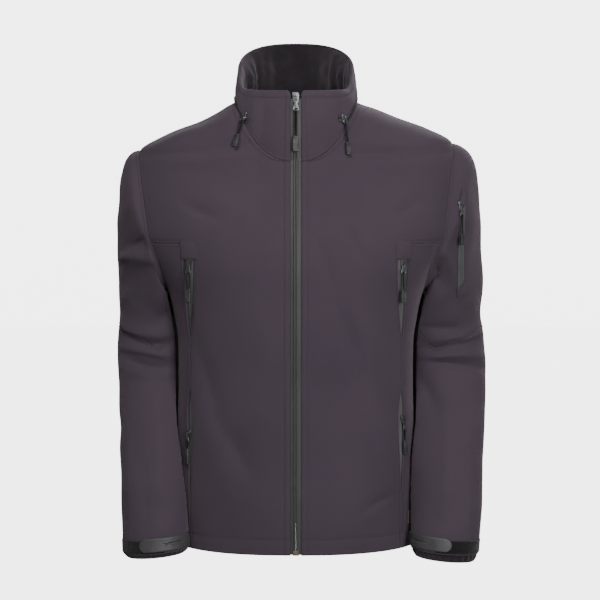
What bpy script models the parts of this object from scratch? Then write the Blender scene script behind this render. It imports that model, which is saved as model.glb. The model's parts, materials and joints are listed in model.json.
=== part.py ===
# Softshell jacket in the form that it has when worn, with nobody in it.
# Metres, +Z up. The front faces -Y and +X is the wearer's left. The origin is the middle of the
# neck's base, on the line through both neck points, where the wearer's shoulders hold it up.
# Each piece that a maker cuts, and each zip part, is one closed solid.

import math
from collections import namedtuple

import bmesh
import bpy
import numpy as np
from mathutils import Matrix
from mathutils import Vector
from mathutils.bvhtree import BVHTree

# Cloth and seams
CLOTH = 0.0020
SEAM_GAP = 0.0003
LAYER_GAP = 0.0007
TAPE = 0.0010
STRIP = 0.0008
RUBBER = 0.0018

# Cut of the body
NECK_HALF_WIDTH = 0.097
NECK_DROP = 0.0950
NECK_CURVE = 2.5
HEM_Z = -0.708
ZIP_HALF_WIDTH = 0.0085
ZIP_TAPE_REACH = 0.35
POCKET_SEAM_X = 0.1675
YOKE_SHARE = 0.74

# Armhole, an ellipse on the body's surface: angle across and height
ARMHOLE_Z = -0.188
ARMHOLE_HALF_HEIGHT = 0.112
ARMHOLE_HALF_ANGLE = math.radians(28)
ARMHOLE_STEPS = 10
BAR_STEP = 6

# Collar
COLLAR_TOP_HALF_WIDTH = 0.0925
COLLAR_TOP_FRONT = 0.092
COLLAR_TOP_BACK = 0.075
COLLAR_BULGE = 0.003
FACING_PUFF = 0.017
FACING_FOLDS = 0.0028

# Columns and rows of the panels
FRONT_COLUMNS = 7
SIDE_COLUMNS = 3
BACK_COLUMNS = 16
SLEEVE_COLUMNS = 2 * ARMHOLE_STEPS
UPPER_SLEEVE_ROWS = 11
LOWER_SLEEVE_ROWS = 16
CUFF_RING = 11.45
ROW_GROWTH = 1.15
ELBOW_GAP = 0.016
COLLAR_LEVELS = (0.0, 0.22, 0.5, 0.78, 1.0)
FACING_LEVELS = (0.06, 0.22, 0.42, 0.62, 0.80, 0.93, 1.0)
NECK_ROWS = (-0.0012, -0.018, -0.035, -0.055)
PIT_ROWS = (-0.0885, -0.0925, -0.0948)
SLIT_ROW = -0.243
LOWER_ROWS = (-0.325, -0.352, -0.381, -0.412, -0.447, -0.490, -0.535, -0.580, -0.630, -0.680, HEM_Z)

# Sections of the body: half width, depth in front of and behind the origin, and how square
Level = namedtuple("Level", "z half_width front_depth back_depth squareness")
BODY = (
    Level(-0.740, 0.193, 0.133, 0.128, 2.30),
    Level(-0.708, 0.194, 0.134, 0.126, 2.30),
    Level(-0.620, 0.196, 0.136, 0.120, 2.30),
    Level(-0.540, 0.194, 0.135, 0.114, 2.30),
    Level(-0.450, 0.189, 0.135, 0.108, 2.30),
    Level(-0.385, 0.190, 0.138, 0.110, 2.30),
    Level(-0.340, 0.196, 0.139, 0.114, 2.32),
    Level(-0.305, 0.204, 0.139, 0.118, 2.36),
    Level(-0.270, 0.220, 0.139, 0.120, 2.42),
    Level(-0.240, 0.238, 0.137, 0.123, 2.46),
    Level(-0.200, 0.258, 0.131, 0.124, 2.50),
    Level(-0.150, 0.262, 0.118, 0.121, 2.50),
    Level(-0.100, 0.257, 0.102, 0.113, 2.50),
    Level(-0.076, 0.250, 0.096, 0.106, 2.50),
    Level(-0.050, 0.208, 0.090, 0.098, 2.50),
    Level(-0.030, 0.160, 0.086, 0.090, 2.50),
    Level(0.000, 0.097, 0.080, 0.078, 2.50),
    Level(0.020, 0.055, 0.076, 0.070, 2.50),
)

# How far the pocket seam's two edges part, over the chest and the hand pocket zips
Slit = namedtuple("Slit", "z width")
SLITS = (
    Slit(-0.630, 0.0),
    Slit(-0.580, 0.0030),
    Slit(-0.535, 0.0070),
    Slit(-0.490, 0.0095),
    Slit(-0.447, 0.0),
    Slit(-0.381, 0.0),
    Slit(-0.352, 0.0050),
    Slit(-0.325, 0.0098),
    Slit(-0.300, 0.0130),
    Slit(-0.2538, 0.0165),
    Slit(-0.243, 0.0160),
    Slit(-0.2226, 0.0),
)

# Height of the collar's top edge, by how far forward it is
Edge = namedtuple("Edge", "y z")
COLLAR_EDGE = (
    Edge(-0.100, 0.0130),
    Edge(-0.092, 0.0135),
    Edge(-0.055, 0.0180),
    Edge(-0.025, 0.0370),
    Edge(0.000, 0.0550),
    Edge(0.027, 0.0700),
    Edge(0.045, 0.0790),
    Edge(0.075, 0.0955),
)

# How much higher the wearer's left shoulder sits, and the right one lower, by how far out
Lift = namedtuple("Lift", "x z")
SHOULDER_LIFTS = (
    Lift(-0.300, -0.0010),
    Lift(-0.250, -0.0010),
    Lift(-0.205, -0.0018),
    Lift(-0.178, -0.0024),
    Lift(-0.150, -0.0040),
    Lift(-0.130, -0.0032),
    Lift(-0.100, 0.0000),
    Lift(0.100, 0.0000),
    Lift(0.130, 0.0042),
    Lift(0.180, 0.0070),
    Lift(0.215, 0.0085),
    Lift(0.250, 0.0100),
    Lift(0.300, 0.0070),
)
SHOULDER_FADE = (-0.200, -0.090)

# Rings of the sleeve, shoulder to hem, for the wearer's right; the left arm stands further out
Ring = namedtuple(
    "Ring",
    "outer_x outer_z inner_x inner_z middle_y half_depth left_outer left_inner",
)
SLEEVE = (
    Ring(0.250, -0.076, 0.2045, -0.300, 0.000, 0.070, 0.000, 0.000),
    Ring(0.2735, -0.098, 0.2085, -0.3065, 0.005, 0.077, 0.010, 0.000),
    Ring(0.2836, -0.128, 0.202, -0.318, 0.013, 0.078, 0.009, 0.000),
    Ring(0.2880, -0.180, 0.190, -0.338, 0.024, 0.077, 0.0105, 0.000),
    Ring(0.2905, -0.235, 0.178, -0.365, 0.036, 0.075, 0.0110, 0.000),
    Ring(0.2920, -0.290, 0.168, -0.395, 0.047, 0.071, 0.0145, 0.000),
    Ring(0.2895, -0.345, 0.162, -0.425, 0.051, 0.067, 0.0140, 0.000),
    Ring(0.2935, -0.400, 0.160, -0.455, 0.044, 0.063, 0.0170, 0.002),
    Ring(0.2890, -0.460, 0.160, -0.488, 0.018, 0.058, 0.0215, 0.000),
    Ring(0.2835, -0.530, 0.162, -0.541, -0.020, 0.054, 0.0200, 0.002),
    Ring(0.2800, -0.600, 0.169, -0.599, -0.053, 0.049, 0.0185, 0.010),
    Ring(0.2770, -0.661, 0.170, -0.653, -0.075, 0.043, 0.0165, 0.013),
    Ring(0.2740, -0.713, 0.169, -0.704, -0.085, 0.041, 0.0155, 0.013),
    Ring(0.2720, -0.761, 0.168, -0.752, -0.092, 0.040, 0.0155, 0.013),
)
SLEEVE_HEM = len(SLEEVE) - 2
CAP_BLEND = 1.5
CAP_FLARE = 0.012
CAP_FLARE_TOP = 0.010
CLEAR_OF_BODY = 0.0050

# Where the elbow seam crosses the sleeve: degrees from its inner line, and the ring
Seam = namedtuple("Seam", "from_inner ring")
ELBOW_SEAM = (Seam(0, 3.0), Seam(28, 3.3), Seam(56, 4.9), Seam(90, 6.2), Seam(180, 6.3))

# Folds: a straight stretch of ridge (height above 0) or trough, on the front or the back
Fold = namedtuple("Fold", "face x1 z1 x2 z2 width height")
BODY_FOLDS = (
    Fold("front", -0.238, -0.078, -0.110, -0.028, 0.0110, 0.0040),
    Fold("front", -0.240, -0.084, -0.062, -0.068, 0.0100, -0.0060),
    Fold("front", 0.060, -0.078, 0.236, -0.090, 0.0100, -0.0058),
    Fold("front", 0.100, -0.020, 0.076, -0.064, 0.0100, -0.0060),
    Fold("front", 0.032, -0.212, 0.059, -0.313, 0.0100, -0.0036),
    Fold("front", 0.059, -0.313, 0.107, -0.469, 0.0120, -0.0048),
    Fold("front", 0.081, -0.198, 0.098, -0.240, 0.0080, -0.0036),
    Fold("front", -0.163, -0.375, -0.123, -0.501, 0.0140, -0.0042),
    Fold("front", -0.123, -0.501, -0.068, -0.588, 0.0160, -0.0040),
    Fold("front", -0.172, -0.162, -0.120, -0.184, 0.0090, -0.0034),
    Fold("front", 0.155, -0.177, 0.196, -0.160, 0.0090, -0.0034),
    Fold("front", 0.108, -0.642, 0.155, -0.619, 0.0080, -0.0036),
    Fold("back", -0.215, -0.085, -0.080, -0.060, 0.0130, -0.0045),
    Fold("back", 0.215, -0.085, 0.080, -0.060, 0.0130, -0.0045),
    Fold("back", -0.190, -0.250, -0.060, -0.330, 0.0130, -0.0045),
    Fold("back", 0.195, -0.240, 0.080, -0.350, 0.0130, -0.0045),
    Fold("back", -0.175, -0.430, -0.040, -0.400, 0.0130, -0.0050),
    Fold("back", 0.180, -0.450, 0.020, -0.425, 0.0130, -0.0050),
    Fold("back", -0.150, -0.560, -0.020, -0.600, 0.0160, -0.0036),
)
SLEEVE_FOLDS = (
    Fold("front", -0.222, -0.250, -0.292, -0.250, 0.0105, 0.0080),
    Fold("front", -0.235, -0.206, -0.288, -0.243, 0.0055, -0.0050),
    Fold("front", -0.215, -0.376, -0.290, -0.360, 0.0105, 0.0080),
    Fold("front", -0.190, -0.312, -0.222, -0.356, 0.0120, -0.0075),
    Fold("front", -0.200, -0.388, -0.264, -0.384, 0.0085, -0.0065),
    Fold("front", -0.190, -0.414, -0.288, -0.396, 0.0100, 0.0075),
    Fold("front", -0.203, -0.427, -0.276, -0.412, 0.0085, -0.0065),
    Fold("front", 0.208, -0.240, 0.232, -0.290, 0.0115, -0.0090),
    Fold("front", 0.206, -0.362, 0.270, -0.366, 0.0065, -0.0060),
    Fold("front", 0.222, -0.383, 0.306, -0.364, 0.0095, 0.0080),
    Fold("front", 0.198, -0.399, 0.254, -0.397, 0.0095, -0.0080),
    Fold("front", 0.194, -0.408, 0.306, -0.412, 0.0100, 0.0080),
    Fold("front", 0.194, -0.419, 0.308, -0.431, 0.0060, -0.0070),
    Fold("back", -0.282, -0.330, -0.215, -0.370, 0.0130, -0.0060),
    Fold("back", -0.284, -0.395, -0.210, -0.395, 0.0120, 0.0055),
    Fold("back", 0.292, -0.335, 0.220, -0.375, 0.0130, -0.0060),
    Fold("back", 0.294, -0.400, 0.220, -0.400, 0.0120, 0.0055),
    Fold("back", -0.275, -0.200, -0.220, -0.240, 0.0120, -0.0050),
    Fold("back", 0.283, -0.200, 0.228, -0.240, 0.0120, -0.0050),
)

# Cuff: rings of the sleeve between which the loop strip lies, and its reach round the arm
STRIP_RINGS = (11.56, 11.96)
STRIP_DEGREES = (-108, 108)
TAB_RINGS = (11.50, 11.92)
TAB_DEGREES = {"left": (82, 90, 108, 126, 144, 162, 180), "right": (64, 72, 90, 108, 126, 144, 162)}
TAB_END_DEGREES = 8
INNER_CUFF_SHOWS = {"left": 0.012, "right": 0.006}
INNER_CUFF_SHRINK = 0.004

# Hood zip along the collar's base: share of the collar's height, front ends and the back
HOOD_ZIP_FRONT_LEVEL = 0.42
HOOD_ZIP_BACK_LEVEL = 0.10
HOOD_ZIP_FIRST_COLUMN = 7
HOOD_ZIP_WIDTH = 0.009

# Sleeve pocket zip on the wearer's left arm: ring and degrees from the outer line
Stop = namedtuple("Stop", "ring degrees")
SLEEVE_ZIP = (Stop(1.15, 66), Stop(1.9, 71.5), Stop(2.8, 71.5), Stop(3.6, 70.5), Stop(4.3, 68.5))
SLEEVE_ZIP_ROWS = 12
SLEEVE_ZIP_WIDTH = 0.011
SLEEVE_ZIP_LIFT = 0.0009
ARM_RADIUS = 0.062

LABEL_ROWS = (-0.650, -0.671)
LABEL_COLUMNS = (0.62, 1.0, 1.12)
END_BOX = (0.0095, 0.0030, 0.0080)

# Pulls: where the slider's pivot is, and how big each piece is
Pull = namedtuple("Pull", "name x z slider_scale tab tab_width cord grip grip_width")
PULLS = (
    Pull("main", 0.0000, 0.0030, 1.45, 0.0195, 0.0112, 0.0415, 0.0250, 0.0095),
    Pull("hood_right", -0.0795, -0.0255, 1.15, 0.0090, 0.0076, 0.0225, 0.0215, 0.0070),
    Pull("hood_left", 0.0745, -0.0280, 1.15, 0.0090, 0.0076, 0.0310, 0.0205, 0.0070),
    Pull("chest_right", -0.1655, -0.2515, 1.40, 0.0165, 0.0098, 0.0270, 0.0205, 0.0080),
    Pull("chest_left", 0.1655, -0.2515, 1.40, 0.0165, 0.0098, 0.0270, 0.0205, 0.0080),
    Pull("hand_right", -0.1660, -0.5260, 1.15, 0.0120, 0.0086, 0.0125, 0.0255, 0.0078),
    Pull("hand_left", 0.1660, -0.5030, 1.15, 0.0165, 0.0090, 0.0175, 0.0230, 0.0078),
    Pull("sleeve", 0.2590, -0.1650, 1.30, 0.0165, 0.0094, 0.0300, 0.0165, 0.0075),
)
PIVOT_ABOVE_BODY = 0.0012
SLIDER_WIDTH = 0.0075
SLIDER_LENGTH = 0.0110
SLIDER_RISE = 0.0010
SLIDER_THICKNESS = 0.0024
SLIDER_BEVEL = 0.0006
SLIDER_CLEARANCE = 0.0004
PROBE_HEIGHT = 0.0080
SEAT_PROBES = 18
TAB_THICKNESS = 0.0012
TAB_WAIST = 0.0026
TAB_WAIST_AT = 0.42
TAB_SHOULDER = 0.0032
TAB_EYE_END = 0.0007
TAB_EYE = (0.0014, -0.0043)
TAB_CORNER = 0.0012
TAB_FLARE = (0.9, 0.0042)
TAB_HOLE = (0.0010, 0.0034)
CORD_RADIUS = 0.0008
CORD_SPREAD = 0.0018
CORD_NECK = (0.0011, 0.0030)
CORD_TURN = (0.0013, 0.0004, 0.0016)
CORD_IN_HOLE = 0.0022
CORD_IN_GRIP = 0.0030
GRIP_THICKNESS = 0.0044
GRIP_BEVEL = 0.0012
PULL_CLEARANCE = 0.0006
BESIDE_TEETH = 0.0015
PLATE_ON_EDGE = Matrix(((0, -1, 0, 0), (0, 0, -1, 0), (1, 0, 0, 0), (0, 0, 0, 1)))

Finish = namedtuple("Finish", "color roughness metallic")
CLOTH_FINISH = Finish((0.068, 0.056, 0.074), 0.85, 0.0)
FINISHES = {
    "cloth": CLOTH_FINISH,
    "facing": Finish((0.020, 0.015, 0.020), 0.90, 0.0),
    "zip_tape": Finish((0.050, 0.052, 0.052), 0.60, 0.0),
    "pocket_tape": Finish((0.065, 0.066, 0.074), 0.65, 0.0),
    "loop_strip": Finish((0.008, 0.008, 0.008), 0.95, 0.0),
    "rubber": Finish((0.046, 0.046, 0.048), 0.55, 0.0),
    "metal": Finish((0.11, 0.11, 0.115), 0.35, 0.9),
    "cord": Finish((0.010, 0.010, 0.010), 0.80, 0.0),
    "grip": Finish((0.045, 0.045, 0.047), 0.50, 0.0),
    "label": Finish((0.045, 0.038, 0.034), 0.80, 0.0),
}


def clear_scene():
    for thing in list(bpy.data.objects):
        bpy.data.objects.remove(thing, do_unlink=True)


def material(name):
    found = bpy.data.materials.get(name)
    if found:
        return found
    made = bpy.data.materials.new(name)
    made.use_nodes = True
    shader = made.node_tree.nodes["Principled BSDF"]
    finish = FINISHES[name]
    shader.inputs["Base Color"].default_value = (*finish.color, 1.0)
    shader.inputs["Roughness"].default_value = finish.roughness
    shader.inputs["Metallic"].default_value = finish.metallic
    return made


def smooth_curve(keys, values):
    """A function through the rows of a table, with no overshoot between them."""
    order = np.argsort(keys)
    keys = np.array(keys, float)[order]
    values = np.array(values, float)[order]
    step = np.diff(keys)
    slope = np.diff(values) / step
    tangent = np.zeros(len(keys))
    same = slope[:-1] * slope[1:] > 0
    tangent[1:-1][same] = 2 * slope[:-1][same] * slope[1:][same] / (slope[:-1] + slope[1:])[same]
    tangent[0] = slope[0]
    tangent[-1] = slope[-1]

    def value(at):
        at = np.clip(at, keys[0], keys[-1])
        i = np.clip(np.searchsorted(keys, at) - 1, 0, len(step) - 1)
        t = (at - keys[i]) / step[i]
        near = values[i] * (1 + 2 * t) * (1 - t) ** 2 + values[i + 1] * t * t * (3 - 2 * t)
        return near + step[i] * (tangent[i] * t * (1 - t) ** 2 - tangent[i + 1] * t * t * (1 - t))

    return value


def columns_of(table):
    """One smooth curve for each column of a table, over its first column."""
    keys = [row[0] for row in table]
    return [smooth_curve(keys, [row[i] for row in table]) for i in range(1, len(table[0]))]


half_width, front_depth, back_depth, squareness = columns_of(BODY)
(slit_width,) = columns_of(SLITS)
(collar_edge,) = columns_of(COLLAR_EDGE)
(shoulder_lift,) = columns_of(SHOULDER_LIFTS)
(elbow_ring,) = columns_of(ELBOW_SEAM)
sleeve_curves = [
    smooth_curve(range(len(SLEEVE)), [row[i] for row in SLEEVE]) for i in range(len(Ring._fields))
]


def ease(low, high, at):
    """0 below low, 1 above high, smooth between."""
    t = np.clip((np.asarray(at, float) - low) / (high - low), 0, 1)
    return t * t * (3 - 2 * t)


def signed_power(value, power):
    return np.sign(value) * np.abs(value) ** power


def unit(vectors):
    return vectors / np.maximum(np.linalg.norm(vectors, axis=-1, keepdims=True), 1e-12)


def body_point(angle, z):
    """The body's plain surface: angle 0 is the centre front, a quarter turn the wearer's left."""
    power = 2 / squareness(z)
    across = signed_power(np.sin(angle), power)
    along = signed_power(np.cos(angle), power)
    depth = np.where(along > 0, front_depth(z), back_depth(z))
    return np.stack([half_width(z) * across, -depth * along, z + 0 * across], axis=-1)


def body_normal(angle, z, turn=0.012, rise=0.002):
    across = body_point(angle + turn, z) - body_point(angle - turn, z)
    up = body_point(angle, z + rise) - body_point(angle, z - rise)
    return unit(np.cross(across, up))


def angle_at_x(x, z):
    return np.arcsin(np.clip(x / half_width(z), 0, 1) ** (squareness(z) / 2))


def angle_at_y(y, z):
    """The angle just before a quarter turn at which the front surface lies y in front."""
    return np.arccos((y / front_depth(z)) ** (squareness(z) / 2))


def fold_height(points, normals, folds):
    """How far the folds lift each point of a plain surface."""
    total = np.zeros(points.shape[:-1])
    for fold in folds:
        start = np.array([fold.x1, fold.z1])
        along = np.array([fold.x2, fold.z2]) - start
        here = points[..., [0, 2]] - start
        share = np.clip(here @ along / (along @ along), 0, 1)
        distance = np.linalg.norm(here - share[..., None] * along, axis=-1)
        facing = normals[..., 1] * (-1 if fold.face == "front" else 1)
        ends = 0.35 + 0.65 * np.sin(np.pi * np.clip(share, 0.02, 0.98))
        total += fold.height * ends * np.exp(-((distance / fold.width) ** 2)) * ease(0.05, 0.6, facing)
    return total


def uneven(points):
    """Raises one shoulder and lowers the other."""
    lift = shoulder_lift(points[..., 0]) * ease(*SHOULDER_FADE, points[..., 2])
    return points + lift[..., None] * np.array((0, 0, 1))


class Grid:
    """A panel's outer points and outward directions, by row and column."""

    def __init__(self, points, normals, around=False):
        self.points = points
        self.normals = normals
        self.around = around

    def at(self, row, column):
        """The point and direction on the panel's own facets at a row and column."""
        rows, columns = self.points.shape[:2]
        r = int(np.clip(math.floor(row), 0, rows - 2))
        c = math.floor(column)
        if not self.around:
            c = int(np.clip(c, 0, columns - 2))
        u = column - c
        v = row - r
        corners = ((r, c, (1 - u) * (1 - v)), (r, c + 1, u * (1 - v)))
        corners += ((r + 1, c, (1 - u) * v), (r + 1, c + 1, u * v))
        point = sum(self.points[i, j % columns] * w for i, j, w in corners)
        normal = sum(self.normals[i, j % columns] * w for i, j, w in corners)
        return point, unit(normal)

    def layer(self, offset):
        return self.points + self.normals * offset


def layers(pairs, low, high):
    """Outer and inner points of a piece that lies on a panel, from rows of points and directions."""
    points = np.array([[pair[0] for pair in row] for row in pairs])
    normals = np.array([[pair[1] for pair in row] for row in pairs])
    return points + normals * high, points + normals * low


def link(name, mesh, finish, place=None):
    thing = bpy.data.objects.new(name, mesh)
    if not mesh.materials:
        mesh.materials.append(material(finish))
    jacket.objects.link(thing)
    thing.parent = holder
    if place is not None:
        thing.matrix_world = place
    return thing


def wall(name, outer, inner, finish, keep=None, around=False):
    """A closed wall between two grids of points; keep says which cells it has."""
    rows, columns = outer.shape[:2]
    sheets = (outer, inner)
    shape = bmesh.new()
    corners = {}

    def corner(side, r, c):
        key = (side, r, c)
        if key not in corners:
            corners[key] = shape.verts.new(sheets[side][r, c])
        return corners[key]

    edges = {}
    for r in range(rows - 1):
        for c in range(columns if around else columns - 1):
            if keep and not keep(r, c):
                continue
            d = (c + 1) % columns
            ring = ((r, c), (r, d), (r + 1, d), (r + 1, c))
            shape.faces.new([corner(0, *k) for k in ring])
            shape.faces.new([corner(1, *ring[i]) for i in (0, 3, 2, 1)])
            for a, b in zip(ring, ring[1:] + ring[:1]):
                if (b, a) in edges:
                    del edges[(b, a)]
                else:
                    edges[(a, b)] = True
    for a, b in edges:
        shape.faces.new([corner(0, *b), corner(0, *a), corner(1, *a), corner(1, *b)])
    bmesh.ops.recalc_face_normals(shape, faces=shape.faces)
    mesh = bpy.data.meshes.new(name)
    shape.to_mesh(mesh)
    shape.free()
    mesh.shade_smooth()
    mesh.set_sharp_from_angle(angle=math.radians(40))
    return link(name, mesh, finish)


def armhole_point(step):
    """A point of the armhole's edge; step 0 is the shoulder point and steps run forward."""
    turn = math.pi * step / ARMHOLE_STEPS
    z = ARMHOLE_Z + ARMHOLE_HALF_HEIGHT * math.cos(turn)
    angle = math.pi / 2 - ARMHOLE_HALF_ANGLE * math.sin(turn)
    return angle, z


ARMHOLE_ROWS = tuple(armhole_point(step)[1] for step in range(ARMHOLE_STEPS + 1))
BAR_Z = ARMHOLE_ROWS[BAR_STEP]
UNDERARM_Z = ARMHOLE_ROWS[-1]


def neck_x(z):
    """The neckline's half width at a height, level with the zip's edge below its lowest point."""
    rise = np.clip((z + NECK_DROP) / NECK_DROP, 0, 1)
    return np.maximum(ZIP_HALF_WIDTH, NECK_HALF_WIDTH * rise ** (1 / NECK_CURVE))


def armhole_angle(z):
    """The armhole's front edge at a height, on the straight runs between its steps."""
    steps = [armhole_point(step) for step in range(ARMHOLE_STEPS, -1, -1)]
    return np.interp(z, [s[1] for s in steps], [s[0] for s in steps])


def outer_angle(z):
    """The front half's rear edge: shoulder seam, armhole, then side seam."""
    seam = float(angle_at_y(SEAM_GAP / 2, z))
    if z > ARMHOLE_ROWS[0] or z < UNDERARM_Z:
        return seam
    return min(seam, float(armhole_angle(z)))


def spread(angle):
    """Evens the steps round a square-shouldered section: an angle to a share of the quarter."""
    r = np.clip(angle / (math.pi / 2), 0, 1) ** 0.8
    return r / (r + (1 - np.clip(angle / (math.pi / 2), 0, 1)) ** 0.8)


def gather(share):
    """The inverse of spread."""
    r = share**1.25
    return math.pi / 2 * r / (r + (1 - share) ** 1.25)


def seam_angle(z, side):
    """The pocket seam; side -1 is the front panel's edge and 1 the side panel's."""
    half = max(SEAM_GAP, float(slit_width(z))) / 2
    return float(angle_at_x(POCKET_SEAM_X + side * half, z))


def body_grid(angles, heights, turn=1):
    """A grid on the folded body surface, from an angle for each row and column."""
    angles = np.array(angles)
    z = np.array(heights)[:, None] + 0 * angles
    plain = body_point(angles, z)
    normals = body_normal(angles, z)
    if turn < 0:
        plain = plain * (-1, 1, 1)
        normals = normals * (-1, 1, 1)
    lift = fold_height(plain, normals, BODY_FOLDS)
    return Grid(uneven(plain + normals * lift[..., None]), normals)


def front_grid(turn):
    heights = sorted(NECK_ROWS + PIT_ROWS + ARMHOLE_ROWS + (SLIT_ROW,) + LOWER_ROWS, reverse=True)
    angles = []
    for z in heights:
        start = spread(float(angle_at_x(neck_x(z), z)))
        last = spread(outer_angle(z)) if z >= BAR_Z - 1e-9 else None
        seam = spread(seam_angle(z, -1)) if z <= BAR_Z + 1e-9 else start + YOKE_SHARE * (last - start)
        shares = list(np.linspace(start, seam, FRONT_COLUMNS + 1))
        beyond = last if last is not None else seam + 0.1
        shares += list(np.linspace(seam, beyond, SIDE_COLUMNS + 1))[1:]
        angles.append([gather(share) for share in shares])
    grid = body_grid(angles, heights, turn)
    straighten(grid, heights, FRONT_COLUMNS + SIDE_COLUMNS)
    return grid, heights


def straighten(grid, heights, column):
    """Puts a panel's extra points at the armhole on the straight runs between its steps."""
    steps = [row for row, z in enumerate(heights) if min(abs(z - a) for a in ARMHOLE_ROWS) < 0.0004]
    for above, below in zip(steps, steps[1:]):
        for row in range(above + 1, below):
            share = (heights[row] - heights[above]) / (heights[below] - heights[above])
            for values in (grid.points, grid.normals):
                values[row, column] = values[above, column] * (1 - share) + values[below, column] * share


def side_grid(turn):
    heights = sorted(ARMHOLE_ROWS[BAR_STEP:] + (SLIT_ROW,) + LOWER_ROWS, reverse=True)
    heights[0] -= SEAM_GAP
    angles = []
    for z in heights:
        shares = np.linspace(spread(seam_angle(z, 1)), spread(outer_angle(z)), SIDE_COLUMNS + 1)
        angles.append([gather(share) for share in shares])
    grid = body_grid(angles, heights, turn)
    straighten(grid, heights, SIDE_COLUMNS)
    return grid, heights


def back_grid():
    heights = sorted((0.0,) + NECK_ROWS[1:] + ARMHOLE_ROWS + LOWER_ROWS, reverse=True)
    half = BACK_COLUMNS // 2
    angles = []
    for z in heights:
        edge = spread(outer_angle(z))
        shares = np.linspace(edge, 0, half + 1)
        quarter = [math.pi - gather(share) for share in shares]
        angles.append(quarter + [2 * math.pi - a for a in reversed(quarter[:-1])])
    return body_grid(angles, heights), heights


def collar_base():
    """The neckline's points from the wearer's left zip edge round the back to the right one."""
    front = [z for z in sorted(NECK_ROWS + PIT_ROWS + ARMHOLE_ROWS[:2])]
    left = [body_point(angle_at_x(neck_x(z), z), np.array(z)) for z in front]
    corner = body_point(np.array(math.radians(83)), np.array(0.0))
    half = BACK_COLUMNS // 2
    quarter = [math.pi - gather(share) for share in np.linspace(1, 0, half + 1)]
    back = [body_point(np.array(a), np.array(0.0)) for a in quarter]
    points = np.array(left + [corner] + back)
    return np.concatenate([points, points[-2::-1] * (-1, 1, 1)])


def collar_top(base):
    """The collar's top edge above each point of its base."""
    share = (np.abs(base[:, 0]) - ZIP_HALF_WIDTH) / (NECK_HALF_WIDTH - ZIP_HALF_WIDTH)
    ahead = base[:, 1] < 0
    front_x = ZIP_HALF_WIDTH + share * (COLLAR_TOP_HALF_WIDTH - ZIP_HALF_WIDTH)
    back_x = np.abs(base[:, 0]) * COLLAR_TOP_HALF_WIDTH / NECK_HALF_WIDTH
    x = np.where(ahead, front_x, back_x)
    rest = np.clip(1 - (x / COLLAR_TOP_HALF_WIDTH) ** 2.5, 0, 1) ** 0.4
    y = np.where(ahead, -COLLAR_TOP_FRONT * rest, COLLAR_TOP_BACK * rest)
    return np.stack([np.sign(base[:, 0]) * x, y, collar_edge(y)], axis=-1)


def sheet_normals(points, hint):
    """Outward directions of a grid of points from its neighbours."""
    across = np.gradient(points, axis=1)
    down = np.gradient(points, axis=0)
    normals = unit(np.cross(across, down))
    flip = np.sign(np.sum(normals * hint, axis=-1, keepdims=True))
    return normals * np.where(flip == 0, 1, flip)


def collar_grid(levels):
    base = collar_base()
    top = collar_top(base)
    rise = unit(top - base)
    rows = []
    for level in levels:
        row = base + (top - base) * level
        if level == 0:
            row = row + rise * SEAM_GAP
        rows.append(row)
    plain = np.array(rows)
    away = plain * (1, 1, 0) - (0, -0.01, 0)
    normals = sheet_normals(plain, away)
    bulge = COLLAR_BULGE * np.sin(np.pi * np.array(levels))
    return Grid(plain + normals * bulge[:, None, None], normals)


def facing_grid():
    """The puffed inside of the collar, with soft upright folds at the back and sides."""
    grid = collar_grid(FACING_LEVELS)
    levels = np.array(FACING_LEVELS)[:, None]
    x = grid.points[..., 0]
    y = grid.points[..., 1]
    belly = np.sin(np.pi * np.clip(levels, 0, 1)) ** 0.8
    from_zip = ease(0.02, 0.075, np.abs(x))
    back = ease(-0.03, 0.04, y)
    puff = FACING_PUFF * belly * np.maximum(0.15 * from_zip, from_zip * (0.35 + 0.65 * back))
    turn = np.arctan2(x, y)
    puff = puff + FACING_FOLDS * belly * (0.3 + 0.7 * back) * from_zip * (1 + np.sin(turn * 9))
    behind_zip = 0.0018 * (1 - ease(0.022, 0.040, np.abs(x)))
    depth = CLOTH + LAYER_GAP + behind_zip + puff
    normals = unit(grid.normals * (1, 1, 0.2))
    return Grid(grid.points - grid.normals * depth[..., None], normals)


def sleeve_plain(turn, ring, arm):
    """The sleeve's surface with no folds; turn 0 is its outer line, a quarter turn its front."""
    outer_x, outer_z, inner_x, inner_z, middle_y, half_depth, left_out, left_in = (
        curve(ring) for curve in sleeve_curves
    )
    if arm > 0:
        outer_x = outer_x + left_out
        inner_x = inner_x + left_in
    c = np.cos(turn)
    s = np.sin(turn)
    x = (outer_x + inner_x) / 2 + (outer_x - inner_x) / 2 * c
    z = (outer_z + inner_z) / 2 + (outer_z - inner_z) / 2 * c
    y = middle_y - half_depth * s
    round_arm = np.stack([x, y, z], axis=-1)
    angle = math.pi / 2 - ARMHOLE_HALF_ANGLE * s
    hole = body_point(angle, ARMHOLE_Z + ARMHOLE_HALF_HEIGHT * c)
    hole[..., 0] += ring * (CAP_FLARE + CAP_FLARE_TOP * c)
    blend = ease(0, CAP_BLEND, ring)[..., None]
    point = hole * (1 - blend) + round_arm * blend
    return clear_of_body(point, SEAM_GAP + CLEAR_OF_BODY * ease(0, 1.2, ring))


def clear_of_body(point, distance):
    """Moves points that would touch the body's side out to the given distance from it."""
    x, y, z = point[..., 0], point[..., 1], point[..., 2]
    power = squareness(z)
    depth = np.where(y < 0, front_depth(z), back_depth(z)) + distance
    rest = np.clip(1 - np.clip(np.abs(y) / depth, 0, 1) ** power, 0, 1) ** (1 / power)
    limit = (half_width(z) + distance) * rest
    return np.stack([np.maximum(x, limit), y, z], axis=-1)


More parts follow.
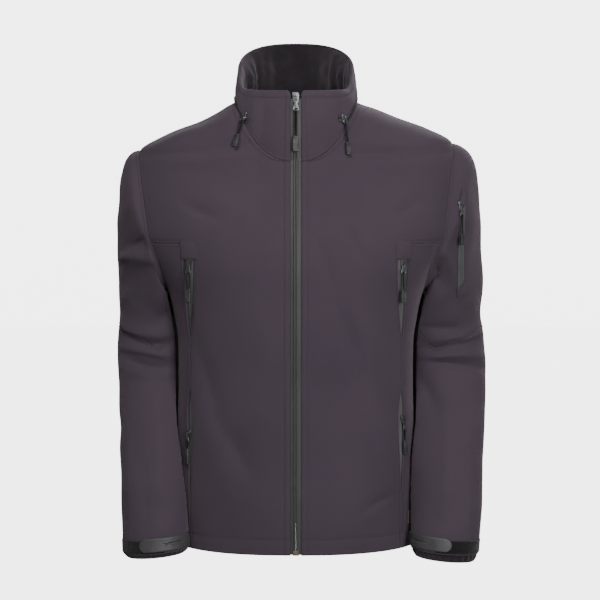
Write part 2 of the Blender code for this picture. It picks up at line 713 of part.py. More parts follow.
def sleeve_grid(turns, rings, arm):
    turns = np.array(turns)
    rings = np.array(rings)
    plain = sleeve_plain(turns, rings, arm)
    around = sleeve_plain(turns + 0.10, rings, arm) - sleeve_plain(turns - 0.10, rings, arm)
    down_from = np.maximum(rings - 0.08, 0)
    down = sleeve_plain(turns, rings + 0.08, arm) - sleeve_plain(turns, down_from, arm)
    normals = unit(np.cross(down, around))
    middle = np.mean(plain, axis=1, keepdims=True)
    flip = np.sign(np.sum(normals * (plain - middle), axis=-1, keepdims=True))
    normals = normals * np.where(flip == 0, 1, flip)
    start = body_normal(math.pi / 2 - ARMHOLE_HALF_ANGLE * np.sin(turns), plain[..., 2])
    same = np.sum(start * normals, axis=-1)
    share = ease(0.1, 0.6, same) * (1 - ease(0, 0.5, rings))
    normals = unit(normals * (1 - share[..., None]) + start * share[..., None])
    side = (arm, 1, 1)
    plain = plain * side
    normals = normals * side
    start = start * side
    at_seam = fold_height(plain, start, BODY_FOLDS) * (1 - ease(0, 0.8, rings))
    plain = plain + start * at_seam[..., None]
    lift = fold_height(plain, normals, SLEEVE_FOLDS) * ease(0.2, 1.2, rings)
    inward = ease(0.2, 0.8, normals[..., 0] * -arm)
    lift = np.where(lift > 0, lift * (1 - inward), lift)
    return Grid(uneven(plain + normals * lift[..., None]), normals, around=True)


def sleeve_turns():
    return [2 * math.pi * c / SLEEVE_COLUMNS for c in range(SLEEVE_COLUMNS)]


def elbow_at(turn):
    from_inner = abs((math.degrees(turn) % 360) - 180)
    return float(elbow_ring(from_inner))


def upper_sleeve(arm):
    turns = sleeve_turns()
    rows = [(r / UPPER_SLEEVE_ROWS) ** ROW_GROWTH for r in range(UPPER_SLEEVE_ROWS + 1)]
    rings = [[row * elbow_at(turn) for turn in turns] for row in rows]
    return sleeve_grid([turns] * len(rows), rings, arm)


def lower_sleeve(arm):
    turns = sleeve_turns()
    shares = [(r / LOWER_SLEEVE_ROWS) ** ROW_GROWTH for r in range(LOWER_SLEEVE_ROWS + 1)]
    first = [elbow_at(turn) + ELBOW_GAP for turn in turns]
    rings = [[f + (CUFF_RING - f) * share for f in first] for share in shares]
    rings.append([SLEEVE_HEM] * len(turns))
    return sleeve_grid([turns] * len(rings), rings, arm)


def build_body():
    grids = {}
    for side, turn in (("left", 1), ("right", -1)):
        front, heights = front_grid(turn)
        bar = heights.index(BAR_Z)
        keep = lambda r, c, bar=bar: c < FRONT_COLUMNS or r < bar
        wall(f"front_{side}", front.points, front.layer(-CLOTH), "cloth", keep)
        panel, side_heights = side_grid(turn)
        wall(f"side_{side}", panel.points, panel.layer(-CLOTH), "cloth")
        grids[side] = (front, heights, panel, side_heights)
    back, _ = back_grid()
    wall("back", back.points, back.layer(-CLOTH), "cloth")
    return grids


def build_collar():
    outer = collar_grid(COLLAR_LEVELS)
    wall("collar_outer", outer.points, outer.layer(-CLOTH), "cloth")
    facing = facing_grid()
    wall("collar_facing", facing.points, facing.layer(-CLOTH), "facing")
    return outer


def build_sleeves():
    grids = {}
    for side, arm in (("left", 1), ("right", -1)):
        upper = upper_sleeve(arm)
        lower = lower_sleeve(arm)
        for name, grid in (("upper", upper), ("lower", lower)):
            wall(f"sleeve_{name}_{side}", grid.points, grid.layer(-CLOTH), "cloth", around=True)
        grids[side] = (upper, lower)
    return grids


def on_cuff(grid, degrees, ring):
    """A point of the cuff's own facets at degrees from the outer line and a ring."""
    row = LOWER_SLEEVE_ROWS + (ring - CUFF_RING) / (SLEEVE_HEM - CUFF_RING)
    return grid.at(row, SLEEVE_COLUMNS * (degrees % 360) / 360)


def on_upper_sleeve(grid, degrees, ring):
    share = ring / elbow_at(math.radians(degrees))
    row = UPPER_SLEEVE_ROWS * share ** (1 / ROW_GROWTH)
    return grid.at(row, SLEEVE_COLUMNS * (degrees % 360) / 360)


def build_cuffs(sleeves):
    for side in ("left", "right"):
        lower = sleeves[side][1]
        step = 360 / SLEEVE_COLUMNS
        degrees = np.arange(STRIP_DEGREES[0], STRIP_DEGREES[1] + 1, step)
        pairs = [[on_cuff(lower, d, ring) for d in degrees] for ring in STRIP_RINGS]
        wall(f"loop_strip_{side}", *layers(pairs, SEAM_GAP, SEAM_GAP + STRIP), "loop_strip")
        build_tab(side, lower)
        hem = lower.points[-2:]
        normals = lower.normals[-2:]
        inset = CLOTH + LAYER_GAP
        rows = [hem[0] - normals[0] * inset, hem[1] - normals[1] * inset]
        low = hem[1] - normals[1] * (inset + INNER_CUFF_SHRINK)
        rows.append(low - (0, 0, INNER_CUFF_SHOWS[side]))
        outer = np.array(rows)
        inner = outer - np.array([normals[0], normals[1], normals[1]]) * CLOTH
        wall(f"inner_cuff_{side}", outer, inner, "facing", around=True)


def build_tab(side, lower):
    """The rubber cuff tab, wrapped round the front of the cuff, with a rounded free end."""
    first, *others = TAB_DEGREES[side]
    rows = []
    for share in (0.0, 0.12, 0.3, 0.5, 0.7, 0.88, 1.0):
        across = 2 * share - 1
        free = first + TAB_END_DEGREES * (1 - math.sqrt(1 - 0.92 * across * across))
        ring = TAB_RINGS[0] + share * (TAB_RINGS[1] - TAB_RINGS[0])
        rows.append([on_cuff(lower, d, ring) for d in (free, *others)])
    low = SEAM_GAP + STRIP + SEAM_GAP
    wall(f"cuff_tab_{side}", *layers(rows, low, low + RUBBER), "rubber")


def build_tapes(body, collar, sleeves):
    low = -(CLOTH + LAYER_GAP + TAPE)
    high = -(CLOTH + LAYER_GAP)
    for side, turn in (("left", 1), ("right", -1)):
        front, heights, panel, side_heights = body[side]
        last = front.points.shape[0] - 1
        rows = [main_tape_row(front, row, 0, turn) for row in range(last, -1, -1)
                if heights[row] <= PIT_ROWS[-1] + 1e-9]
        edge = 0 if turn > 0 else collar.points.shape[1] - 1
        rows += [main_tape_row(collar, row, edge, turn) for row in range(1, len(COLLAR_LEVELS))]
        wall(f"zip_tape_{side}", *layers(rows, low, high), "zip_tape")
        for name, top, bottom in (("chest", SLIT_ROW, -0.381), ("hand", -0.447, -0.630)):
            rows = []
            for row, z in enumerate(heights):
                if not bottom - 1e-9 <= z <= top + 1e-9:
                    continue
                there = side_heights.index(z)
                rows.append([front.at(row, FRONT_COLUMNS - 0.45), front.at(row, FRONT_COLUMNS - 1e-9),
                             panel.at(there, 0), panel.at(there, 0.35)])
            wall(f"{name}_zip_tape_{side}", *layers(rows, low, high), "pocket_tape")
    build_hood_zip(collar)
    build_sleeve_zip(sleeves["left"][0])
    build_label(*body["left"][2:])


def main_tape_row(grid, row, edge, turn):
    """One row of the main zip's tape, from the teeth to under the panel's edge."""
    inner = 1 if edge == 0 else -1
    point, normal = grid.points[row, edge], grid.normals[row, edge]
    at_teeth = np.array([turn * SEAM_GAP / 2, point[1], point[2]])
    flat = unit(normal * (0, 1, 1))
    under = grid.at(row, edge + inner * ZIP_TAPE_REACH)
    return [(at_teeth, flat), (point, normal), under]


def build_hood_zip(collar):
    """The hood's zip, a strip on the collar from front end to front end round the back."""
    columns = collar.points.shape[1]
    first = HOOD_ZIP_FIRST_COLUMN
    rows = [[], [], []]
    for c in range(first, columns - first):
        near_front = min(c, columns - 1 - c) - first
        level = HOOD_ZIP_BACK_LEVEL
        level += (HOOD_ZIP_FRONT_LEVEL - HOOD_ZIP_BACK_LEVEL) * (1 - float(ease(0, 2.2, near_front)))
        height = np.linalg.norm(collar.points[-1, c] - collar.points[0, c])
        half = HOOD_ZIP_WIDTH / height / 2
        for row, share in zip(rows, (level + half, level, level - half)):
            row.append(collar.at(np.interp(share, COLLAR_LEVELS, range(len(COLLAR_LEVELS))), c))
    wall("hood_zip_tape", *layers(rows, LAYER_GAP, LAYER_GAP + TAPE), "zip_tape")


def build_sleeve_zip(upper):
    (degrees_at,) = columns_of(SLEEVE_ZIP)
    half = math.degrees(SLEEVE_ZIP_WIDTH / 2 / ARM_RADIUS)
    rows = []
    for ring in np.linspace(SLEEVE_ZIP[0].ring, SLEEVE_ZIP[-1].ring, SLEEVE_ZIP_ROWS):
        middle = float(degrees_at(ring))
        rows.append([on_upper_sleeve(upper, middle + d, ring) for d in (-half, 0, half)])
    pieces = layers(rows, SLEEVE_ZIP_LIFT, SLEEVE_ZIP_LIFT + TAPE)
    wall("sleeve_zip_tape", *pieces, "pocket_tape")


def build_label(panel, heights):
    rows = []
    for z in LABEL_ROWS:
        row = np.interp(-z, [-h for h in heights], range(len(heights)))
        rows.append([panel.at(row, c) for c in LABEL_COLUMNS])
    wall("label", *layers(rows, SEAM_GAP, SEAM_GAP + STRIP), "label")


def cloth_tree():
    """All pieces so far as one search tree, so that hardware can be seated on them."""
    points = []
    faces = []
    for thing in jacket.objects:
        if thing.type != "MESH":
            continue
        first = len(points)
        points += [thing.matrix_world @ v.co for v in thing.data.vertices]
        faces += [[first + i for i in face.vertices] for face in thing.data.polygons]
    return BVHTree.FromPolygons(points, faces)


def flat_plate(name, outline, holes, thickness):
    """A plate in the XZ plane, centred on Y 0, from an outline and holes."""
    curve = bpy.data.curves.new(name, "CURVE")
    curve.dimensions = "2D"
    curve.fill_mode = "BOTH"
    curve.extrude = thickness / 2
    for ring in [outline] + holes:
        spline = curve.splines.new("POLY")
        spline.points.add(len(ring) - 1)
        spline.use_cyclic_u = True
        for point, (x, z) in zip(spline.points, ring):
            point.co = (x, z, 0, 1)
    return meshed(curve, Matrix.Rotation(math.pi / 2, 4, "X"))


def meshed(curve, turn=None):
    """A curve's solid as a welded mesh, with the curve removed."""
    thing = bpy.data.objects.new(curve.name, curve)
    bpy.context.scene.collection.objects.link(thing)
    graph = bpy.context.evaluated_depsgraph_get()
    mesh = bpy.data.meshes.new_from_object(thing.evaluated_get(graph))
    shape = bmesh.new()
    shape.from_mesh(mesh)
    bmesh.ops.remove_doubles(shape, verts=shape.verts, dist=0.00001)
    if turn is not None:
        shape.transform(turn)
    bmesh.ops.recalc_face_normals(shape, faces=shape.faces)
    shape.to_mesh(mesh)
    shape.free()
    bpy.data.objects.remove(thing, do_unlink=True)
    bpy.data.curves.remove(curve)
    return mesh


def rectangle(half_x, low_z, high_z):
    return [(-half_x, low_z), (half_x, low_z), (half_x, high_z), (-half_x, high_z)]


def block(name, size, centre, bevel):
    """A box with its edges taken off."""
    mesh = bpy.data.meshes.new(name)
    shape = bmesh.new()
    bmesh.ops.create_cube(shape, size=1)
    for vertex in shape.verts:
        vertex.co = Vector(centre) + Vector(c * s for c, s in zip(vertex.co, size))
    bmesh.ops.bevel(shape, geom=shape.edges, offset=bevel, segments=1, affect="EDGES")
    shape.to_mesh(mesh)
    shape.free()
    return mesh


def slider_mesh(scale):
    """A zip slider: a bevelled body and, joined to it, the bridge that the tab hangs in."""
    name = f"slider_{round(scale * 100)}"
    back = PIVOT_ABOVE_BODY + SLIDER_THICKNESS
    size = (SLIDER_WIDTH * scale, SLIDER_THICKNESS, SLIDER_LENGTH * scale)
    centre = (0, (PIVOT_ABOVE_BODY + back) / 2, SLIDER_RISE * scale)
    body = bpy.data.objects.new(name, block(name, size, centre, SLIDER_BEVEL))
    bpy.context.scene.collection.objects.link(body)
    window = rectangle(0.0016, -PIVOT_ABOVE_BODY, PIVOT_ABOVE_BODY)
    outline = [(-0.0027, -0.0018), (0.0027, -0.0018), (0.0027, 0.0016), (0.0019, 0.0023),
               (-0.0019, 0.0023), (-0.0027, 0.0016)]
    bridge_mesh = flat_plate(f"{name}_bridge", outline, [window], 0.0016)
    bridge_mesh.transform(PLATE_ON_EDGE)
    bridge = bpy.data.objects.new(f"{name}_bridge", bridge_mesh)
    bpy.context.scene.collection.objects.link(bridge)
    join = body.modifiers.new("join", "BOOLEAN")
    join.operation = "UNION"
    join.solver = "EXACT"
    join.object = bridge
    graph = bpy.context.evaluated_depsgraph_get()
    mesh = bpy.data.meshes.new_from_object(body.evaluated_get(graph))
    mesh.name = name
    for thing in (body, bridge):
        bpy.data.objects.remove(thing, do_unlink=True)
    return mesh


def build_pulls(tree):
    sliders = {}
    for pull in PULLS:
        if pull.slider_scale not in sliders:
            sliders[pull.slider_scale] = slider_mesh(pull.slider_scale)
        seat, normal = seat_of(tree, pull)
        up = unit(np.array([0, 0, 1.0]) - normal * normal[2])
        across = np.cross(-normal, up)
        height = highest(tree, seat, normal, across, up, pull.slider_scale)
        height += SLIDER_CLEARANCE + SLIDER_THICKNESS + PIVOT_ABOVE_BODY
        pivot = seat + normal * height
        frame = place(pivot, across, -normal, up)
        link(f"{pull.name}_slider", sliders[pull.slider_scale], "metal", frame)
        lean = hang(tree, pull, pivot, normal, up)
        down = -math.cos(lean) * up + math.sin(lean) * normal
        hung = place(pivot, across, np.cross(-down, across), -down)
        build_pull(pull, hung)


def place(origin, x_axis, y_axis, z_axis):
    turn = Matrix((x_axis, y_axis, z_axis)).transposed().to_4x4()
    return Matrix.Translation(Vector(origin)) @ turn


def seat_of(tree, pull):
    """Where a slider sits: the piece that a line from the front meets, and its direction."""
    beside = Vector((pull.x + math.copysign(BESIDE_TEETH, pull.x), -1, pull.z))
    hit, normal, _, _ = tree.ray_cast(beside, Vector((0, 1, 0)))
    return np.array((pull.x, hit.y, hit.z)), np.array(normal)


def highest(tree, seat, normal, across, up, scale):
    """How far the cloth and tape under a slider rise above its seat."""
    rises = [0.0]
    half_across = SLIDER_WIDTH * scale / 2
    half_along = SLIDER_LENGTH * scale / 2
    for side in np.linspace(-1, 1, SEAT_PROBES):
        for end in np.linspace(-1, 1, SEAT_PROBES):
            spot = seat + across * side * half_across + up * (end * half_along + SLIDER_RISE * scale)
            start = Vector(spot + normal * PROBE_HEIGHT)
            hit, _, _, gap = tree.ray_cast(start, Vector(-normal), 2 * PROBE_HEIGHT)
            if hit is not None:
                cut_away = SLIDER_BEVEL if max(abs(side), abs(end)) == 1 else 0
                rises.append(PROBE_HEIGHT - gap - cut_away)
    return max(rises)


def hang(tree, pull, pivot, normal, up):
    """How far the pull leans out from the slider's line: it hangs plumb, or lies on the cloth."""
    lean = max(math.atan2(-normal[2], up[2]), -0.05)
    across = np.cross(-normal, up)
    grip_from = pull.tab + pull.cord - CORD_IN_GRIP
    spots = [(s, 0) for s in np.linspace(pull.tab, grip_from, 6)]
    for s in np.linspace(0.6 * pull.tab, pull.tab, 3):
        spots += [(s, side * pull.tab_width / 2) for side in (-1, 1)]
    for s in np.linspace(grip_from, grip_from + pull.grip, 8):
        spots += [(s, side * pull.grip_width / 2) for side in (-1, -0.5, 0, 0.5, 1)]
    thick = CORD_SPREAD + CORD_RADIUS + PULL_CLEARANCE
    for _ in range(200):
        down = -math.cos(lean) * up + math.sin(lean) * normal
        if all(clear(tree, pivot + down * s + across * t, normal, thick) for s, t in spots):
            break
        lean += 0.006
    return lean


def clear(tree, point, normal, distance):
    hit, _, _, gap = tree.find_nearest(Vector(point))
    return gap >= distance and np.dot(point - np.array(hit), normal) > 0


def build_pull(pull, frame):
    """A tab in the slider's bridge, a cord looped through it and the grip moulded on the cord."""
    low = -pull.tab
    half = pull.tab_width / 2
    flare_width, flare_height = TAB_FLARE
    right = [(half - TAB_CORNER, low), (half, low + TAB_CORNER), (flare_width * half, low + flare_height),
             (TAB_WAIST, TAB_WAIST_AT * low), (TAB_SHOULDER, -TAB_CORNER), (TAB_WAIST, TAB_EYE_END)]
    outline = right + [(-x, z) for x, z in reversed(right)]
    eye = rectangle(*TAB_EYE, -TAB_EYE_END)
    hole = rectangle(half / 2, *(low + edge for edge in TAB_HOLE))
    tab = flat_plate(f"{pull.name}_tab", outline, [eye, hole], TAB_THICKNESS)
    link(f"{pull.name}_tab", tab, "metal", frame)
    top = low - pull.cord + CORD_IN_HOLE
    through = low + CORD_IN_HOLE
    neck, neck_height = CORD_NECK
    turn, turn_drop, leg_drop = CORD_TURN
    leg = [(neck, top), (neck, top + neck_height), (CORD_SPREAD, (top + through) / 2),
           (CORD_SPREAD, through - leg_drop), (turn, through - turn_drop)]
    route = [(-y, z) for y, z in leg] + [(0, through)] + leg[::-1]
    curve = bpy.data.curves.new(f"{pull.name}_cord", "CURVE")
    curve.dimensions = "3D"
    curve.bevel_depth = CORD_RADIUS
    curve.bevel_resolution = 1
    curve.use_fill_caps = True
    spline = curve.splines.new("POLY")
    spline.points.add(len(route) - 1)
    for point, (y, z) in zip(spline.points, route):
        point.co = (0, y, z, 1)
    link(f"{pull.name}_cord", meshed(curve), "cord", frame)
    grip_top = top - SEAM_GAP
    size = (pull.grip_width, GRIP_THICKNESS, pull.grip)
    grip = block(f"{pull.name}_grip", size, (0, 0, grip_top - pull.grip / 2), GRIP_BEVEL)
    link(f"{pull.name}_grip", grip, "grip", frame)


def build_end_box(tree):
    """The main zip's box, on the tapes at the hem."""
    width, depth, height = END_BOX
    middle = HEM_Z + height / 2
    hit, normal, _, _ = tree.ray_cast(Vector((0.002, -1, middle)), Vector((0, 1, 0)))
    centre = (0, hit.y - SLIDER_CLEARANCE - depth / 2, middle)
    link("zip_end_box", block("zip_end_box", (width, depth, height), centre, SLIDER_BEVEL), "metal")


clear_scene()
jacket = bpy.data.collections.new("softshell_jacket")
bpy.context.scene.collection.children.link(jacket)
holder = bpy.data.objects.new("neck_base", None)
jacket.objects.link(holder)
body_panels = build_body()
collar_panel = build_collar()
sleeve_panels = build_sleeves()
build_cuffs(sleeve_panels)
build_tapes(body_panels, collar_panel, sleeve_panels)
seat_tree = cloth_tree()
build_end_box(seat_tree)
build_pulls(seat_tree)
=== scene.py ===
import json
import math
from collections import namedtuple

import bmesh
import bpy
import numpy as np
from mathutils import Matrix, Vector


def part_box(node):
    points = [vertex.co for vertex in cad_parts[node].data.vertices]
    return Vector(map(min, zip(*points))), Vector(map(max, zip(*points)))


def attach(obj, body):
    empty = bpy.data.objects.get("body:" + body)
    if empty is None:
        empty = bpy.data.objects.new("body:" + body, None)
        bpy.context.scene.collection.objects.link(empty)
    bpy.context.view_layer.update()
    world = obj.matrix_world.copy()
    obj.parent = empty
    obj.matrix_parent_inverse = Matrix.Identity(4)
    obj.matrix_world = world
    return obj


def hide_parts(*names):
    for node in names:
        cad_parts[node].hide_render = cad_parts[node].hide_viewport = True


# Softshell jacket, dressed for the render. Metres, +Z up, the front faces -Y, +X is the wearer's left.
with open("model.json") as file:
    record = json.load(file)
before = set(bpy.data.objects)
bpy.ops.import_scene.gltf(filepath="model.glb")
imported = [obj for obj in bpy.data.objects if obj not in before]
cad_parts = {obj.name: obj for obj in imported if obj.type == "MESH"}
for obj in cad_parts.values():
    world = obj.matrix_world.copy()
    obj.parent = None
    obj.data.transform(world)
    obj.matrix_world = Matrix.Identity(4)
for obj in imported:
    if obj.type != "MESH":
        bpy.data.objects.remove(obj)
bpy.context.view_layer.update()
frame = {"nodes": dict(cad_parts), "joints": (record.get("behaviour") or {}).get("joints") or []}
print("frame loaded")

cut = {
    "cloth": 0.0020,           # thickness of the shell
    "neckHalfWidth": 0.097,
    "neckDrop": 0.095,
    "neckCurve": 2.5,
    "hem": -0.708,
    "zipHalfWidth": 0.0085,
    "pocketSeam": 0.1675,
    "yokeShare": 0.74,
    "pitch": 0.0042,           # size of a cloth cell
    "seamGap": 0.00015,
    "seamStitch": 0.0045,      # from an edge to its row of stitches
    "hemStitch": 0.0250,
}
armhole = {"z": -0.188, "halfHeight": 0.112, "halfAngle": math.radians(28), "steps": 46}
barHeight = armhole["z"] + armhole["halfHeight"] * math.cos(math.pi * 0.6)
underarm = armhole["z"] - armhole["halfHeight"]
armholeTop = armhole["z"] + armhole["halfHeight"]

Level = namedtuple("Level", "z halfWidth frontDepth backDepth squareness")
bodyTable = (
    Level(-0.740, 0.193, 0.133, 0.128, 2.30),
    Level(-0.708, 0.194, 0.134, 0.126, 2.30),
    Level(-0.620, 0.196, 0.136, 0.120, 2.30),
    Level(-0.540, 0.194, 0.135, 0.114, 2.30),
    Level(-0.450, 0.189, 0.135, 0.108, 2.30),
    Level(-0.385, 0.190, 0.138, 0.110, 2.30),
    Level(-0.340, 0.196, 0.139, 0.114, 2.32),
    Level(-0.305, 0.204, 0.139, 0.118, 2.36),
    Level(-0.270, 0.220, 0.139, 0.120, 2.42),
    Level(-0.240, 0.238, 0.137, 0.123, 2.46),
    Level(-0.200, 0.258, 0.131, 0.124, 2.50),
    Level(-0.150, 0.262, 0.118, 0.121, 2.50),
    Level(-0.100, 0.257, 0.102, 0.113, 2.50),
    Level(-0.076, 0.250, 0.096, 0.106, 2.50),
    Level(-0.050, 0.208, 0.090, 0.098, 2.50),
    Level(-0.030, 0.160, 0.086, 0.090, 2.50),
    Level(0.000, 0.097, 0.080, 0.078, 2.50),
    Level(0.020, 0.055, 0.076, 0.070, 2.50),
)

# The wearer's left shoulder sits higher than the right one
Lift = namedtuple("Lift", "x z")
shoulderTable = (
    Lift(-0.300, -0.0010), Lift(-0.250, -0.0010), Lift(-0.205, -0.0018), Lift(-0.178, -0.0024), Lift(-0.150,
            -0.0040),
    Lift(-0.130, -0.0032), Lift(-0.100, 0.0000), Lift(0.100, 0.0000), Lift(0.130, 0.0042), Lift(0.180, 0.0070),
    Lift(0.215, 0.0085), Lift(0.250, 0.0100), Lift(0.300, 0.0070),
)
shoulderFade = (-0.200, -0.090)

# How far the pocket seam's edges part over the chest and hand pocket zips
Slit = namedtuple("Slit", "z width")
slitTable = (
    Slit(-0.630, 0.0), Slit(-0.580, 0.0030), Slit(-0.535, 0.0070), Slit(-0.490, 0.0095),
    Slit(-0.447, 0.0), Slit(-0.381, 0.0), Slit(-0.352, 0.0050), Slit(-0.325, 0.0098),
    Slit(-0.300, 0.0130), Slit(-0.2538, 0.0165), Slit(-0.243, 0.0160), Slit(-0.2226, 0.0),
)

Ring = namedtuple("Ring", "outerX outerZ innerX innerZ middleY halfDepth leftOuter leftInner")
sleeveTable = (
    Ring(0.250, -0.076, 0.2045, -0.300, 0.000, 0.070, 0.000, 0.000),
    Ring(0.2735, -0.098, 0.2085, -0.3065, 0.005, 0.077, 0.010, 0.000),
    Ring(0.2836, -0.128, 0.202, -0.318, 0.013, 0.078, 0.009, 0.000),
    Ring(0.2880, -0.180, 0.190, -0.338, 0.024, 0.077, 0.0105, 0.000),
    Ring(0.2905, -0.235, 0.178, -0.365, 0.036, 0.075, 0.0110, 0.000),
    Ring(0.2920, -0.290, 0.168, -0.395, 0.047, 0.071, 0.0145, 0.000),
    Ring(0.2895, -0.345, 0.162, -0.425, 0.051, 0.067, 0.0140, 0.000),
    Ring(0.2935, -0.400, 0.160, -0.455, 0.044, 0.063, 0.0170, 0.002),
    Ring(0.2890, -0.460, 0.160, -0.488, 0.018, 0.058, 0.0215, 0.000),
    Ring(0.2835, -0.530, 0.162, -0.541, -0.020, 0.054, 0.0200, 0.002),
    Ring(0.2800, -0.600, 0.169, -0.599, -0.053, 0.049, 0.0185, 0.010),
    Ring(0.2770, -0.661, 0.170, -0.653, -0.075, 0.043, 0.0165, 0.013),
    Ring(0.2740, -0.713, 0.169, -0.704, -0.085, 0.041, 0.0155, 0.013),
    Ring(0.2720, -0.761, 0.168, -0.752, -0.092, 0.040, 0.0155, 0.013),
)
sleeveHem = len(sleeveTable) - 2
capCut = {"blend": 1.5, "flare": 0.012, "flareTop": 0.010, "seam": 0.0003, "clear": 0.0050}

Seam = namedtuple("Seam", "fromInner ring")
elbowSeam = (Seam(0, 3.0), Seam(28, 3.3), Seam(56, 4.9), Seam(90, 6.2), Seam(180, 6.3))

# A fold is a ridge (height above 0) or a trough between two points of the front or back view.
# bow bends it sideways, lean makes one flank steeper, crisp narrows its crest.
Fold = namedtuple("Fold", "face x1 z1 x2 z2 width height bow lean crisp")
bodyFolds = (
    Fold("front", -0.238, -0.0780, -0.110, -0.0280, 0.0110, 0.0040, 0.004, 0.00, 0.2),
    Fold("front", -0.240, -0.0840, -0.062, -0.0680, 0.0100, -0.0060, 0.003, 0.20, 0.3),
    Fold("front", -0.205, -0.0990, -0.085, -0.0880, 0.0110, 0.0022, 0.003, 0.00, 0.2),
    Fold("front", 0.060, -0.0780, 0.236, -0.0900, 0.0100, -0.0058, -0.004, 0.20, 0.3),
    Fold("front", 0.085, -0.0940, 0.215, -0.1070, 0.0120, 0.0022, -0.004, 0.00, 0.1),
    Fold("front", 0.100, -0.0200, 0.076, -0.0640, 0.0100, -0.0060, 0.000, 0.00, 0.2),
    Fold("front", 0.032, -0.2120, 0.059, -0.3130, 0.0100, -0.0036, 0.004, 0.10, 0.2),
    Fold("front", 0.059, -0.3130, 0.107, -0.4690, 0.0120, -0.0048, 0.006, 0.20, 0.3),
    Fold("front", 0.081, -0.1980, 0.098, -0.2400, 0.0080, -0.0036, 0.000, 0.20, 0.3),
    Fold("front", -0.163, -0.3750, -0.123, -0.5010, 0.0140, -0.0042, 0.004, 0.10, 0.2),
    Fold("front", -0.123, -0.5010, -0.068, -0.5880, 0.0160, -0.0040, 0.003, 0.10, 0.2),
    Fold("front", -0.172, -0.1620, -0.120, -0.1840, 0.0090, -0.0034, 0.000, 0.20, 0.3),
    Fold("front", -0.165, -0.1400, -0.080, -0.1760, 0.0160, 0.0018, 0.004, 0.00, 0.0),
    Fold("front", 0.155, -0.1770, 0.196, -0.1600, 0.0090, -0.0034, 0.000, 0.20, 0.3),
    Fold("front", 0.108, -0.6420, 0.155, -0.6190, 0.0080, -0.0036, 0.002, 0.20, 0.5),
    Fold("front", 0.020, -0.1500, 0.028, -0.4200, 0.0220, 0.0016, 0.008, 0.00, 0.0),
    Fold("front", -0.050, -0.3000, -0.070, -0.5600, 0.0280, 0.0022, 0.010, 0.00, 0.0),
    Fold("front", -0.150, -0.4400, -0.090, -0.6500, 0.0200, 0.0020, -0.008, 0.00, 0.0),
    Fold("front", 0.080, -0.3000, 0.128, -0.4400, 0.0140, 0.0024, 0.006, 0.00, 0.1),
    Fold("front", 0.120, -0.4800, 0.150, -0.6000, 0.0160, 0.0020, 0.006, 0.00, 0.0),
    Fold("front", -0.056, -0.0850, -0.060, -0.1300, 0.0060, -0.0016, 0.000, 0.00, 0.3),
    Fold("back", -0.215, -0.0850, -0.080, -0.0600, 0.0130, -0.0045, 0.004, 0.10, 0.2),
    Fold("back", 0.215, -0.0850, 0.080, -0.0600, 0.0130, -0.0045, -0.004, 0.10, 0.2),
    Fold("back", -0.190, -0.2500, -0.060, -0.3300, 0.0130, -0.0045, 0.008, 0.20, 0.3),
    Fold("back", 0.195, -0.2400, 0.080, -0.3500, 0.0130, -0.0045, -0.008, 0.20, 0.3),
    Fold("back", -0.200, -0.2900, -0.090, -0.3500, 0.0160, 0.0030, 0.006, 0.10, 0.2),
    Fold("back", 0.200, -0.2850, 0.090, -0.3750, 0.0160, 0.0030, -0.006, 0.10, 0.2),
    Fold("back", -0.175, -0.4300, -0.040, -0.4000, 0.0130, -0.0050, 0.006, 0.20, 0.3),
    Fold("back", 0.180, -0.4500, 0.020, -0.4250, 0.0130, -0.0050, -0.006, 0.20, 0.3),
    Fold("back", -0.160, -0.4620, -0.030, -0.4460, 0.0140, 0.0034, 0.006, 0.10, 0.2),
    Fold("back", -0.150, -0.5600, -0.020, -0.6000, 0.0160, -0.0036, 0.006, 0.10, 0.2),
    Fold("back", 0.030, -0.5200, 0.130, -0.6400, 0.0180, 0.0030, 0.008, 0.10, 0.1),
    Fold("back", 0.000, -0.1200, 0.004, -0.3000, 0.0300, -0.0020, 0.004, 0.00, 0.0),
)
